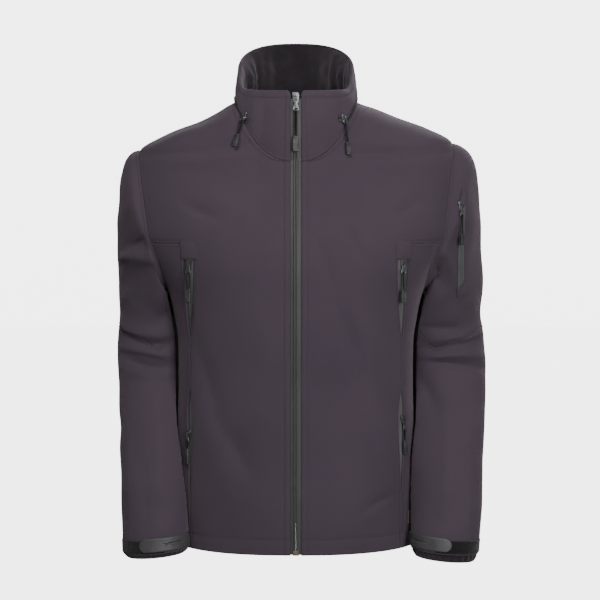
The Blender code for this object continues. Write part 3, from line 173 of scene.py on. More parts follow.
sleeveFolds = (
    Fold("front", -0.222, -0.2500, -0.292, -0.2500, 0.0105, 0.0080, -0.003, -0.45, 0.2),
    Fold("front", -0.235, -0.2060, -0.288, -0.2430, 0.0055, -0.0050, 0.002, 0.00, 0.5),
    Fold("front", -0.231, -0.2260, -0.262, -0.2290, 0.0075, -0.0045, 0.000, 0.00, 0.2),
    Fold("front", -0.236, -0.1500, -0.284, -0.1760, 0.0120, 0.0024, 0.003, 0.10, 0.2),
    Fold("front", -0.270, -0.2560, -0.284, -0.2840, 0.0055, 0.0030, 0.000, 0.20, 0.4),
    Fold("front", -0.268, -0.2990, -0.283, -0.3260, 0.0055, 0.0034, 0.000, 0.20, 0.4),
    Fold("front", -0.215, -0.3760, -0.290, -0.3600, 0.0105, 0.0080, 0.003, -0.45, 0.2),
    Fold("front", -0.190, -0.3120, -0.222, -0.3560, 0.0120, -0.0075, 0.003, 0.00, 0.1),
    Fold("front", -0.200, -0.3880, -0.264, -0.3840, 0.0085, -0.0065, 0.003, 0.00, 0.3),
    Fold("front", -0.190, -0.4140, -0.288, -0.3960, 0.0100, 0.0075, -0.004, -0.45, 0.3),
    Fold("front", -0.203, -0.4270, -0.276, -0.4120, 0.0085, -0.0065, 0.004, 0.00, 0.3),
    Fold("front", -0.210, -0.4400, -0.280, -0.4280, 0.0110, 0.0045, 0.003, -0.30, 0.3),
    Fold("front", -0.272, -0.5000, -0.262, -0.6900, 0.0070, 0.0024, 0.003, 0.40, 0.6),
    Fold("front", -0.225, -0.4800, -0.215, -0.6200, 0.0120, 0.0026, 0.004, 0.20, 0.2),
    Fold("front", -0.245, -0.5600, -0.235, -0.6800, 0.0100, -0.0020, 0.003, 0.00, 0.1),
    Fold("front", 0.208, -0.2400, 0.232, -0.2900, 0.0115, -0.0090, 0.000, 0.00, 0.2),
    Fold("front", 0.226, -0.2260, 0.248, -0.2820, 0.0080, 0.0040, 0.003, 0.20, 0.3),
    Fold("front", 0.206, -0.3620, 0.270, -0.3660, 0.0065, -0.0060, 0.002, 0.00, 0.5),
    Fold("front", 0.222, -0.3830, 0.306, -0.3640, 0.0095, 0.0080, -0.003, 0.45, 0.3),
    Fold("front", 0.238, -0.3870, 0.302, -0.3730, 0.0045, -0.0036, -0.003, 0.00, 0.5),
    Fold("front", 0.198, -0.3990, 0.254, -0.3970, 0.0095, -0.0080, 0.000, 0.00, 0.2),
    Fold("front", 0.194, -0.4080, 0.306, -0.4120, 0.0100, 0.0080, 0.004, 0.45, 0.3),
    Fold("front", 0.194, -0.4195, 0.308, -0.4310, 0.0060, -0.0070, 0.006, 0.00, 0.5),
    Fold("front", 0.200, -0.4400, 0.222, -0.4840, 0.0120, -0.0060, 0.000, 0.00, 0.2),
    Fold("front", 0.250, -0.0780, 0.258, -0.1160, 0.0080, -0.0040, 0.000, 0.10, 0.2),
    Fold("front", 0.270, -0.3180, 0.304, -0.3300, 0.0080, 0.0040, 0.000, 0.20, 0.4),
    Fold("front", 0.240, -0.4800, 0.232, -0.6400, 0.0120, 0.0026, 0.004, 0.20, 0.2),
    Fold("front", 0.276, -0.5000, 0.270, -0.6800, 0.0100, 0.0020, 0.003, 0.20, 0.3),
    Fold("back", -0.282, -0.3300, -0.215, -0.3700, 0.0130, -0.0060, 0.005, 0.20, 0.3),
    Fold("back", -0.284, -0.3600, -0.215, -0.3800, 0.0100, 0.0040, 0.004, 0.20, 0.3),
    Fold("back", -0.284, -0.3950, -0.210, -0.3950, 0.0120, 0.0055, 0.004, 0.30, 0.4),
    Fold("back", 0.292, -0.3350, 0.220, -0.3750, 0.0130, -0.0060, -0.005, 0.20, 0.3),
    Fold("back", 0.294, -0.4000, 0.220, -0.4000, 0.0120, 0.0055, -0.004, 0.30, 0.4),
    Fold("back", -0.275, -0.2000, -0.220, -0.2400, 0.0120, -0.0050, 0.004, 0.20, 0.3),
    Fold("back", 0.283, -0.2000, 0.228, -0.2400, 0.0120, -0.0050, -0.004, 0.20, 0.3),
)


def smoothCurve(keys, values):
    # a function through a table's rows, with no overshoot between them
    order = np.argsort(keys)
    keys = np.array(keys, float)[order]
    values = np.array(values, float)[order]
    step = np.diff(keys)
    slope = np.diff(values) / step
    tangent = np.zeros(len(keys))
    same = slope[:-1] * slope[1:] > 0
    tangent[1:-1][same] = 2 * slope[:-1][same] * slope[1:][same] / (slope[:-1] + slope[1:])[same]
    tangent[0], tangent[-1] = slope[0], slope[-1]

    def value(at):
        at = np.clip(at, keys[0], keys[-1])
        i = np.clip(np.searchsorted(keys, at) - 1, 0, len(step) - 1)
        t = (at - keys[i]) / step[i]
        near = values[i] * (1 + 2 * t) * (1 - t) ** 2 + values[i + 1] * t * t * (3 - 2 * t)
        return near + step[i] * (tangent[i] * t * (1 - t) ** 2 - tangent[i + 1] * t * t * (1 - t))

    return value


def columnsOf(table):
    keys = [row[0] for row in table]
    return [smoothCurve(keys, [row[i] for row in table]) for i in range(1, len(table[0]))]


halfWidth, frontDepth, backDepth, squareness = columnsOf(bodyTable)
(slitWidth,) = columnsOf(slitTable)
(elbowRing,) = columnsOf(elbowSeam)
(shoulderLift,) = columnsOf(shoulderTable)
sleeveCurves = [
    smoothCurve(range(len(sleeveTable)), [row[i] for row in sleeveTable]) for i in range(len(Ring._fields))
]


def ease(low, high, at):
    t = np.clip((np.asarray(at, float) - low) / (high - low), 0, 1)
    return t * t * (3 - 2 * t)


def unit(vectors):
    return vectors / np.maximum(np.linalg.norm(vectors, axis=-1, keepdims=True), 1e-12)


def uneven(points):
    lift = shoulderLift(points[..., 0]) * ease(*shoulderFade, points[..., 2])
    return points + lift[..., None] * np.array((0, 0, 1))


def foldLift(points, normals, folds):
    total = np.zeros(points.shape[:-1])
    for fold in folds:
        start = np.array([fold.x1, fold.z1])
        along = np.array([fold.x2, fold.z2]) - start
        size = np.linalg.norm(along)
        sideways = np.array([-along[1], along[0]]) / size
        here = points[..., [0, 2]] - start
        share = here @ along / size**2
        inside = np.clip(share, 0, 1)
        beyond = np.abs(share - inside) * size
        off = here @ sideways - fold.bow * 4 * inside * (1 - inside)
        wide = fold.width * (1 + fold.lean * np.tanh(off / fold.width * 2))
        distance = np.sqrt(off**2 + beyond**2) / wide
        crest = (1 - fold.crisp) * np.exp(-distance**2) + fold.crisp * np.exp(-1.6 * distance)
        facing = normals[..., 1] * (-1 if fold.face == "front" else 1)
        ends = 0.35 + 0.65 * np.sin(np.pi * np.clip(share, 0.02, 0.98))
        total += fold.height * ends * crest * ease(0.05, 0.6, facing)
    return total


def ripple(points, height, size, seed):
    # slow unevenness of worn cloth
    chance = np.random.default_rng(seed)
    total = np.zeros(points.shape[:-1])
    for _ in range(9):
        way = unit(chance.normal(size=3)) / (size * chance.uniform(0.7, 1.6))
        turn = chance.uniform(0, 2 * math.pi)
        bend = unit(chance.normal(size=3)) / (size * 2.3)
        total += np.sin(2 * math.pi * points @ way + turn + 1.3 * np.sin(2 * math.pi * points @ bend))
    return total * height / 3


def bodyPoint(angle, z):
    # angle 0 is the centre front, a quarter turn the wearer's left, a negative angle the right
    power = 2 / squareness(z)
    s, c = np.sin(angle), np.cos(angle)
    across = np.sign(s) * np.abs(s) ** power
    along = np.sign(c) * np.abs(c) ** power
    depth = np.where(along > 0, frontDepth(z), backDepth(z))
    return np.stack([halfWidth(z) * across, -depth * along, z + 0 * across], axis=-1)


def bodyNormal(angle, z):
    across = bodyPoint(angle + 0.012, z) - bodyPoint(angle - 0.012, z)
    up = bodyPoint(angle, z + 0.002) - bodyPoint(angle, z - 0.002)
    return unit(np.cross(across, up))


def bodySurface(angle, z):
    angle, z = np.broadcast_arrays(np.asarray(angle, float), np.asarray(z, float))
    plain = bodyPoint(angle, z)
    normals = bodyNormal(angle, z)
    lift = foldLift(plain, normals, bodyFolds)
    quiet = ease(0.0, 0.05, -z - 0.02) * ease(0.009, 0.05, np.abs(plain[..., 0]))
    lift += ripple(plain, 0.0007, 0.11, 3) * quiet
    return uneven(plain + normals * lift[..., None]), normals


def angleAtX(x, z):
    return np.arcsin(np.clip(x / halfWidth(z), 0, 1) ** (squareness(z) / 2))


def neckX(z):
    rise = np.clip((z + cut["neckDrop"]) / cut["neckDrop"], 0, 1)
    return np.maximum(cut["zipHalfWidth"], cut["neckHalfWidth"] * rise ** (1 / cut["neckCurve"]))


def armholeAngle(z):
    reach = np.sqrt(np.clip(1 - ((z - armhole["z"]) / armhole["halfHeight"]) ** 2, 0, 1))
    return math.pi / 2 - armhole["halfAngle"] * reach


def outerAngle(z):
    return np.minimum(math.pi / 2 - 0.0006, armholeAngle(z))


def seamAngle(z, side):
    half = np.maximum(cut["seamGap"] * 2, slitWidth(z)) / 2
    return angleAtX(cut["pocketSeam"] + side * half, z)


# Distances from an edge at which every panel has a row of points, for its turn and its stitches
edgeSteps = (0.0, 0.0006, 0.0014, 0.0025, 0.0045, 0.0062, 0.0078, 0.0095, 0.0112)


def spacing(length, pitch, first=True, last=True):
    near = np.array(edgeSteps if first else (0.0,))
    far = length - np.array(edgeSteps if last else (0.0,))[::-1]
    count = max(2, round((far[0] - near[-1]) / pitch))
    middle = np.linspace(near[-1], far[0], count + 1)[1:-1]
    return np.concatenate([near, middle, far]) / length


def evenAngles(z, start, end, shares):
    # the angles that divide a row of the body's section by length
    fine = np.linspace(0, 1, 181)
    angles = start + (end - start) * fine
    length = np.concatenate([[0], np.cumsum(np.linalg.norm(np.diff(bodyPoint(angles, z), axis=0), axis=1))])
    return np.interp(shares * length[-1], length, angles)


def mergedHeights(top, bottom, extra, kept):
    rows = sorted(set(np.round(np.concatenate([np.arange(top, bottom, -cut["pitch"]), extra, kept]), 6)))
    chosen = []
    for z in rows[::-1]:
        if z > top + 1e-9 or z < bottom - 1e-9:
            continue
        must = min(abs(z - k) for k in kept) < 1e-6
        if chosen and chosen[-1][0] - z < 0.0010:
            if not must:
                continue
            if not chosen[-1][1]:
                chosen.pop()
        chosen.append((z, must))
    return np.array([z for z, _ in chosen])


hemRows = cut["hem"] + np.array(edgeSteps + (0.0235, 0.0250, 0.0265))
armRows = armhole["z"] + armhole["halfHeight"] * np.cos(np.linspace(0, math.pi, armhole["steps"]))
neckShare = np.linspace(cut["zipHalfWidth"], cut["neckHalfWidth"], 34) / cut["neckHalfWidth"]
neckRows = -cut["neckDrop"] * (1 - neckShare ** cut["neckCurve"])


def cumulative(points, axis, around=False):
    steps = np.linalg.norm(np.diff(points, axis=axis), axis=-1)
    pad = [(0, 0), (0, 0)]
    pad[axis] = (1, 0)
    return np.cumsum(np.pad(steps, pad), axis=axis)


def sewn(distance, stitch=0.0062, depth=0.0011):
    # the cloth turns in at a seam, pillows up to its row of stitches and is pulled down there
    turn = -depth * np.exp(-((distance / 0.0011) ** 2))
    pillow = 0.0005 * np.sin(np.pi * np.clip(distance / stitch, 0, 1))
    groove = -0.0005 * np.exp(-(((distance - stitch) / 0.0011) ** 2))
    return turn + pillow + groove


class Panel:
    # a grid of outer points, directions out, and which cells are cloth
    def __init__(self, points, normals, keep=None, around=False):
        self.points, self.normals, self.around = points, normals, around
        rows, columns = points.shape[:2]
        self.keep = np.ones((rows - 1, columns if around else columns - 1), bool) if keep is None else keep

    def raised(self, lift):
        return Panel(self.points + self.normals * lift[..., None], self.normals, self.keep, self.around)

    def layer(self, offset):
        return self.points + self.normals * offset


def wallMesh(name, outer, inner, keep, around=False, innerSlot=0):
    # a closed wall between two grids of points, with metres across and along as its UV map
    rows, columns = outer.shape[:2]
    across = cumulative(outer, 1)
    down = cumulative(outer, 0)
    number = np.arange(rows * columns).reshape(rows, columns)
    right = np.roll(number, -1, axis=1)
    cells = keep.shape[1]
    a, b = number[:-1, :cells], right[:-1, :cells]
    d, c = number[1:, :cells], right[1:, :cells]
    n = rows * columns
    front = np.stack([a, b, c, d], axis=-1)[keep]
    back = np.stack([a, d, c, b], axis=-1)[keep] + n
    none = np.zeros((1, cells), bool)
    above = np.concatenate([none, keep[:-1]])
    below = np.concatenate([keep[1:], none])
    if around:
        left, after = np.roll(keep, 1, axis=1), np.roll(keep, -1, axis=1)
    else:
        empty = np.zeros((rows - 1, 1), bool)
        left = np.concatenate([empty, keep[:, :-1]], axis=1)
        after = np.concatenate([keep[:, 1:], empty], axis=1)
    rims = []
    for missing, p, q in ((~above, a, b), (~after, b, c), (~below, c, d), (~left, d, a)):
        at = keep & missing
        rims.append(np.stack([q[at], p[at], p[at] + n, q[at] + n], axis=-1))
    rim = np.concatenate(rims)
    faces = np.concatenate([front, back, rim])
    points = np.concatenate([outer.reshape(-1, 3), inner.reshape(-1, 3)])
    uv = np.tile(np.stack([across.ravel(), down.ravel()], axis=-1), (2, 1))
    used, index = np.unique(faces, return_inverse=True)
    faces = index.reshape(faces.shape)
    points, uv = points[used], uv[used]
    corners = points[faces]
    volume = np.einsum("ij,ij->", corners[:, 0], np.cross(corners[:, 1], corners[:, 2]))
    volume += np.einsum("ij,ij->", corners[:, 0], np.cross(corners[:, 2], corners[:, 3]))
    if volume < 0:
        faces = faces[:, ::-1]
    mesh = bpy.data.meshes.new(name)
    mesh.from_pydata(points.tolist(), [], faces.tolist())
    layer = mesh.uv_layers.new(name="cloth")
    layer.data.foreach_set("uv", uv[faces.ravel()].ravel())
    if innerSlot:
        slots = np.zeros(len(faces), int)
        slots[len(front):len(front) + len(back)] = innerSlot
        mesh.polygons.foreach_set("material_index", slots)
    mesh.shade_smooth()
    mesh.set_sharp_from_angle(angle=math.radians(50))
    return mesh


def addPiece(name, mesh, body, nodes=(), materials=()):
    piece = bpy.data.objects.new(name, mesh)
    bpy.context.scene.collection.objects.link(piece)
    for material in materials:
        mesh.materials.append(material)
    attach(piece, body)
    if nodes:
        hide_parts(*nodes)
    return piece


class Shade:
    # one socket of a material; arithmetic on it adds Math nodes
    def __init__(self, tree, socket=None):
        self.tree, self.socket = tree, socket

    def node(self, kind, settings=None, values=None, out=0):
        made = self.tree.nodes.new(kind)
        for key, value in (settings or {}).items():
            if key == "stops":
                ramp = made.color_ramp
                while len(ramp.elements) < len(value):
                    ramp.elements.new(0.5)
                for element, (at, color) in zip(ramp.elements, value):
                    element.position, element.color = at, (*color, 1)
            else:
                setattr(made, key, value)
        for key, value in (values or {}).items():
            if isinstance(value, Shade):
                self.tree.links.new(value.socket, made.inputs[key])
            else:
                made.inputs[key].default_value = value
        return Shade(self.tree, made.outputs[out])

    def maths(self, operation, *values, clamp=False):
        return self.node("ShaderNodeMath", {"operation": operation, "use_clamp": clamp},
                         dict(enumerate(values)))

    def __add__(self, other):
        return self.maths("ADD", self, other)

    def __radd__(self, other):
        return self.maths("ADD", other, self)

    def __sub__(self, other):
        return self.maths("SUBTRACT", self, other)

    def __rsub__(self, other):
        return self.maths("SUBTRACT", other, self)

    def __mul__(self, other):
        return self.maths("MULTIPLY", self, other)

    def __rmul__(self, other):
        return self.maths("MULTIPLY", other, self)

    def __truediv__(self, other):
        return self.maths("DIVIDE", self, other)

    def __pow__(self, other):
        return self.maths("POWER", self, other)

    def sine(self):
        return self.maths("SINE", self)

    def between(self, low, high):
        values = {"Value": self, "From Min": low, "From Max": high}
        return self.node("ShaderNodeMapRange", {"interpolation_type": "SMOOTHSTEP"}, values)

    def noise(self, where, scale, detail=2.0, roughness=0.5):
        return self.node("ShaderNodeTexNoise", None,
                         {"Vector": where, "Scale": scale, "Detail": detail, "Roughness": roughness})

    def mixed(self, first, second):
        values = {0: self, 6: first, 7: second}
        return self.node("ShaderNodeMix", {"data_type": "RGBA"}, values, out=2)

    def stretched(self, where, scale):
        return self.node("ShaderNodeMapping", None, {"Vector": where, "Scale": scale})

    def split(self, where, axis):
        return self.node("ShaderNodeSeparateXYZ", None, {"Vector": where}, out=axis)


def newMaterial(name, plain):
    # a Principled material with these fixed socket values, and a starting point for its maths
    made = bpy.data.materials.new(name)
    made.use_nodes = True
    shader = made.node_tree.nodes["Principled BSDF"]
    for key, value in plain.items():
        shader.inputs[key].default_value = (*value, 1) if isinstance(value, tuple) else value
    return made, shader, Shade(made.node_tree)


def feed(shader, name, shade):
    shade.tree.links.new(shade.socket, shader.inputs[name])


def bumpInto(shader, shade, height, distance, strength=1.0):
    values = {"Height": height, "Distance": distance, "Strength": strength}
    feed(shader, "Normal", shade.node("ShaderNodeBump", None, values))


clothLook = {
    "color": (0.0530, 0.0370, 0.0535),
    "worn": (0.0640, 0.0455, 0.0640),
    "shade": (0.0410, 0.0290, 0.0420),
    "thread": 0.00055,     # pitch of the weave
    "roughness": 0.86,
    "sheen": 0.18,
    "sheenTint": (0.80, 0.66, 0.74),
}


def clothMaterial(name="softshell", tone=1.0):
    plain = {"Roughness": clothLook["roughness"], "Sheen Weight": clothLook["sheen"], "Sheen Roughness": 0.45,
             "Sheen Tint": clothLook["sheenTint"], "Specular IOR Level": 0.30}
    made, shader, start = newMaterial(name, plain)
    uv = start.node("ShaderNodeUVMap", {"uv_map": "cloth"})
    place = start.node("ShaderNodeTexCoord", None, None, out=3)
    turn = 2 * math.pi / clothLook["thread"]
    wobble = start.noise(uv, 900, 1.0)
    across = (start.split(uv, 0) * turn + wobble * 1.2).sine()
    along = (start.split(uv, 1) * turn + wobble * 1.2).sine()
    weave = across * along
    grain = start.noise(uv, 2600, 2.0, 0.6)
    cloud = start.noise(place, 7, 3.0, 0.55)
    fleck = start.noise(start.stretched(uv, (1500, 420, 1)), 1.0, 2.0)
    tint = cloud.between(0.35, 0.68)
    base = tint.mixed((*[c * tone for c in clothLook["color"]], 1), (*[c * tone for c in clothLook["worn"]], 1))
    dark = (*[c * tone for c in clothLook["shade"]], 1)
    mark = (weave * 0.16 + fleck * 0.5 + 0.05).between(0.05, 0.62)
    feed(shader, "Base Color", mark.mixed(dark, base))
    feed(shader, "Roughness", grain * 0.10 + (clothLook["roughness"] - 0.05))
    bumpInto(shader, start, weave * 0.5 + grain * 0.8, 0.00022, 0.55)
    return made


def fleeceMaterial(name, color, light):
    made, shader, start = newMaterial(name, {"Roughness": 0.95, "Sheen Weight": 0.25, "Sheen Roughness": 0.6,
                                             "Sheen Tint": (0.7, 0.62, 0.7), "Specular IOR Level": 0.2})
    place = start.node("ShaderNodeTexCoord", None, None, out=3)
    tuft = start.noise(place, 900, 3.0, 0.65)
    cloud = start.noise(place, 40, 2.0)
    mark = (tuft * 0.7 + cloud * 0.5).between(0.4, 0.85)
    feed(shader, "Base Color", mark.mixed((*color, 1), (*light, 1)))
    bumpInto(shader, start, tuft + cloud * 0.6, 0.0006, 0.7)
    return made


def tapeMaterial(name, color, light):
    # laminated film over a woven tape: faint ribs and a soft gloss
    made, shader, start = newMaterial(name, {"Specular IOR Level": 0.45, "Coat Weight": 0.12,
                                             "Coat Roughness": 0.45})
    place = start.node("ShaderNodeTexCoord", None, None, out=3)
    rib = (start.split(place, 2) * (2 * math.pi / 0.0012)).sine()
    cloud = start.noise(place, 60, 3.0, 0.6)
    scuff = start.noise(start.stretched(place, (900, 900, 60)), 1.0, 2.0)
    mark = (cloud * 0.8 + scuff * 0.4).between(0.35, 0.85)
    feed(shader, "Base Color", mark.mixed((*color, 1), (*light, 1)))
    feed(shader, "Roughness", cloud * 0.25 + 0.45)
    bumpInto(shader, start, rib * 0.25 + scuff * 0.5, 0.00015, 0.5)
    return made


def loopMaterial():
    made, shader, start = newMaterial("loopPile",
                                      {"Roughness": 0.97, "Specular IOR Level": 0.15, "Sheen Weight": 0.2})
    place = start.node("ShaderNodeTexCoord", None, None, out=3)
    curl = start.noise(place, 1500, 3.0, 0.75)
    clump = start.noise(place, 300, 2.0)
    mark = (curl * 0.8 + clump * 0.4).between(0.45, 0.85)
    feed(shader, "Base Color", mark.mixed((0.0035, 0.0033, 0.0036, 1), (0.016, 0.0155, 0.017, 1)))
    bumpInto(shader, start, curl + clump, 0.0009, 0.9)
    return made


def rubberMaterial(name, color, light, roughness):
    made, shader, start = newMaterial(name, {"Specular IOR Level": 0.4})
    place = start.node("ShaderNodeTexCoord", None, None, out=3)
    grain = start.noise(place, 1800, 2.0, 0.6)
    cloud = start.noise(place, 90, 2.0)
    feed(shader, "Base Color", cloud.between(0.3, 0.75).mixed((*color, 1), (*light, 1)))
    feed(shader, "Roughness", grain * 0.14 + (roughness - 0.07))
    bumpInto(shader, start, grain, 0.00012, 0.5)
    return made


def metalMaterial(name, color, light, roughness):
    made, shader, start = newMaterial(name, {"Metallic": 0.92, "Specular IOR Level": 0.5})
    place = start.node("ShaderNodeTexCoord", None, None, out=3)
    wear = start.noise(place, 260, 3.0, 0.6)
    fine = start.noise(place, 2400, 2.0)
    feed(shader, "Base Color", wear.between(0.45, 0.72).mixed((*color, 1), (*light, 1)))
    feed(shader, "Roughness", wear * 0.18 + (roughness - 0.08))
    bumpInto(shader, start, fine, 0.00005, 0.4)
    return made


def cordMaterial():
    made, shader, start = newMaterial("braid", {"Roughness": 0.8, "Specular IOR Level": 0.3})
    place = start.node("ShaderNodeTexCoord", None, None, out=3)
    x, z = start.split(place, 0), start.split(place, 2)
    turn = 2 * math.pi / 0.0011
    braid = ((x + z) * turn).sine() * ((x - z) * turn).sine()
    dark, light = (0.0045, 0.0042, 0.0045, 1), (0.020, 0.018, 0.019, 1)
    feed(shader, "Base Color", braid.between(-0.4, 0.7).mixed(dark, light))
    bumpInto(shader, start, braid, 0.0002, 0.7)
    return made


def plainMaterial(name, color, roughness, scale, depth):
    made, shader, start = newMaterial(name, {"Specular IOR Level": 0.3})
    place = start.node("ShaderNodeTexCoord", None, None, out=3)
    grain = start.noise(place, scale, 2.0, 0.6)
    dark = tuple(c * 0.72 for c in color)
    feed(shader, "Base Color", grain.between(0.3, 0.7).mixed((*dark, 1), (*color, 1)))
    feed(shader, "Roughness", grain * 0.1 + (roughness - 0.05))
    bumpInto(shader, start, grain, depth, 0.5)
    return made


shell = clothMaterial()
lining = fleeceMaterial("brushedLining", (0.014, 0.011, 0.014), (0.030, 0.024, 0.029))
collarLining = fleeceMaterial("collarLining", (0.007, 0.0055, 0.0073), (0.017, 0.013, 0.017))
mainTape = tapeMaterial("laminatedTape", (0.021, 0.0203, 0.0207), (0.033, 0.0315, 0.0323))
pocketTape = tapeMaterial("pocketTape", (0.052, 0.054, 0.056), (0.076, 0.077, 0.078))
loopPile = loopMaterial()
tabRubber = rubberMaterial("mouldedRubber", (0.036, 0.0355, 0.038), (0.046, 0.0455, 0.048), 0.52)
gripRubber = rubberMaterial("gripRubber", (0.026, 0.026, 0.028), (0.050, 0.050, 0.053), 0.42)
gunmetal = metalMaterial("gunmetal", (0.14, 0.14, 0.147), (0.30, 0.30, 0.315), 0.33)
boxMetal = metalMaterial("boxMetal", (0.16, 0.13, 0.10), (0.26, 0.22, 0.18), 0.42)
braid = cordMaterial()
thread = plainMaterial("sewingThread", (0.034, 0.027, 0.037), 0.7, 2200, 0.0001)
coilNylon = plainMaterial("coilNylon", (0.018, 0.0175, 0.0185), 0.45, 1500, 0.00005)
labelCloth = plainMaterial("wovenLabel", (0.20, 0.175, 0.15), 0.8, 1600, 0.0002)
print("materials made")


def frontHeights():
    kept = [-0.0012, -0.0948, armholeTop, barHeight, underarm, cut["hem"]]
    extra = np.concatenate([neckRows, armRows, hemRows, barHeight + np.array(edgeSteps),
                            barHeight - np.array(edgeSteps)])
    return mergedHeights(-0.0012, cut["hem"], extra, kept)


def frontPanel(side):
    heights = frontHeights()
    inner = spacing(0.165, cut["pitch"])
    outer = spacing(0.085, cut["pitch"], first=False)
    angles, keep = [], []
    for z in heights:
        start = float(angleAtX(neckX(z), z))
        if z >= barHeight - 1e-6:
            last = float(outerAngle(z))
            edge = start + cut["yokeShare"] * (last - start) if z > barHeight + 1e-6 else float(seamAngle(z,
                    -1))
            edge = edge + (float(seamAngle(z, -1)) - edge) * float(ease(0.10, 0.0, z - barHeight))
            edge = min(max(edge, start + 0.02 * (last - start)), last - 0.02 * (last - start))
        else:
            edge = float(seamAngle(z, -1))
            last = edge + 0.2
        first = evenAngles(z, start, edge, inner)
        second = evenAngles(z, edge, last, outer)
        angles.append(np.concatenate([first, second[1:]]))
        keep.append(z > barHeight + 1e-6)
    angles = np.array(angles) * side
    z = heights[:, None] + 0 * angles
    points, normals = bodySurface(angles, z)
    count = len(inner) - 1
    mask = np.zeros((len(heights) - 1, angles.shape[1] - 1), bool)
    mask[:, :count] = True
    mask[np.array(keep)[:-1], count:] = True
    panel = Panel(points, normals, mask)
    fromZip = cumulative(points, 1)
    total = fromZip[:, -1:]
    lift = sewn(fromZip, 0.0095, 0.0007)
    inYoke = (z > barHeight - 1e-6)
    toEdge = np.where(inYoke, total - fromZip, fromZip[:, count:count + 1] - fromZip)
    lift += np.where(toEdge > -1e-9, sewn(np.abs(toEdge), cut["seamStitch"]), 0)
    fromHem = z - cut["hem"]
    lift += sewn(fromHem, cut["hemStitch"], 0.0006) * (fromHem < 0.05)
    beyond = inYoke & (np.arange(angles.shape[1])[None, :] >= count)
    lift += np.where(beyond, sewn(np.abs(z - barHeight), cut["seamStitch"]), 0)
    neckGap = np.abs(np.abs(points[..., 0]) - neckX(z)) + np.maximum(0, -z - cut["neckDrop"]) * 2
    lift += np.where(z > -cut["neckDrop"] - 0.02, -0.0008 * np.exp(-((neckGap / 0.0016) ** 2)), 0)
    return panel.raised(lift), heights


def sidePanel(side):
    kept = [barHeight - cut["seamGap"], underarm, cut["hem"]]
    extra = np.concatenate([armRows, hemRows, barHeight - np.array(edgeSteps[1:])])
    heights = mergedHeights(barHeight - cut["seamGap"], cut["hem"], extra, kept)
    shares = spacing(0.085, cut["pitch"])
    angles = np.array([evenAngles(z, float(seamAngle(z, 1)), float(outerAngle(z)),
                                  shares) for z in heights]) * side
    z = heights[:, None] + 0 * angles
    points, normals = bodySurface(angles, z)
    fromSeam = cumulative(points, 1)
    fromHem = z - cut["hem"]
    lift = sewn(fromSeam, cut["seamStitch"]) + sewn(fromSeam[:, -1:] - fromSeam, cut["seamStitch"])
    lift += sewn(fromHem, cut["hemStitch"], 0.0006) * (fromHem < 0.05)
    lift += sewn(barHeight - z, cut["seamStitch"]) * (z > barHeight - 0.02)
    return Panel(points, normals).raised(lift), heights


def backPanel():
    kept = [0.0, armholeTop, underarm, cut["hem"]]
    extra = np.concatenate([armRows, hemRows, -np.array(edgeSteps)])
    heights = mergedHeights(0.0, cut["hem"], extra, kept)
    shares = spacing(0.28, cut["pitch"], first=True, last=False)
    angles = []
    for z in heights:
        half = evenAngles(z, math.pi - float(outerAngle(z)), math.pi, shares)
        angles.append(np.concatenate([half, 2 * math.pi - half[-2::-1]]))
    angles = np.array(angles)
    z = heights[:, None] + 0 * angles
    points, normals = bodySurface(angles, z)
    fromLeft = cumulative(points, 1)
    fromHem = z - cut["hem"]
    lift = sewn(fromLeft, cut["seamStitch"]) + sewn(fromLeft[:, -1:] - fromLeft, cut["seamStitch"])
    lift += sewn(fromHem, cut["hemStitch"], 0.0006) * (fromHem < 0.05)
    lift += -0.0008 * np.exp(-((z / 0.002) ** 2))
    return Panel(points, normals).raised(lift), heights


def clearOfBody(point, distance):
    x, y, z = point[..., 0], point[..., 1], point[..., 2]
    power = squareness(z)
    depth = np.where(y < 0, frontDepth(z), backDepth(z)) + distance
    rest = np.clip(1 - np.clip(np.abs(y) / depth, 0, 1) ** power, 0, 1) ** (1 / power)
    return np.stack([np.maximum(x, (halfWidth(z) + distance) * rest), y, z], axis=-1)


def sleevePlain(turn, ring, arm):
    # turn 0 is the sleeve's outer line and a quarter turn its front
    values = [curve(ring) for curve in sleeveCurves]
    outerX, outerZ, innerX, innerZ, middleY, halfDepth, leftOut, leftIn = values
    if arm > 0:
        outerX, innerX = outerX + leftOut, innerX + leftIn
    c, s = np.cos(turn), np.sin(turn)
    x = (outerX + innerX) / 2 + (outerX - innerX) / 2 * c
    z = (outerZ + innerZ) / 2 + (outerZ - innerZ) / 2 * c
    roundArm = np.stack([x, middleY - halfDepth * s, z], axis=-1)
    hole = bodyPoint(math.pi / 2 - armhole["halfAngle"] * s, armhole["z"] + armhole["halfHeight"] * c)
    hole[..., 0] += ring * (capCut["flare"] + capCut["flareTop"] * c)
    blend = ease(0, capCut["blend"], ring)[..., None]
    point = hole * (1 - blend) + roundArm * blend
    return clearOfBody(point, capCut["seam"] + capCut["clear"] * ease(0, 1.2, ring))


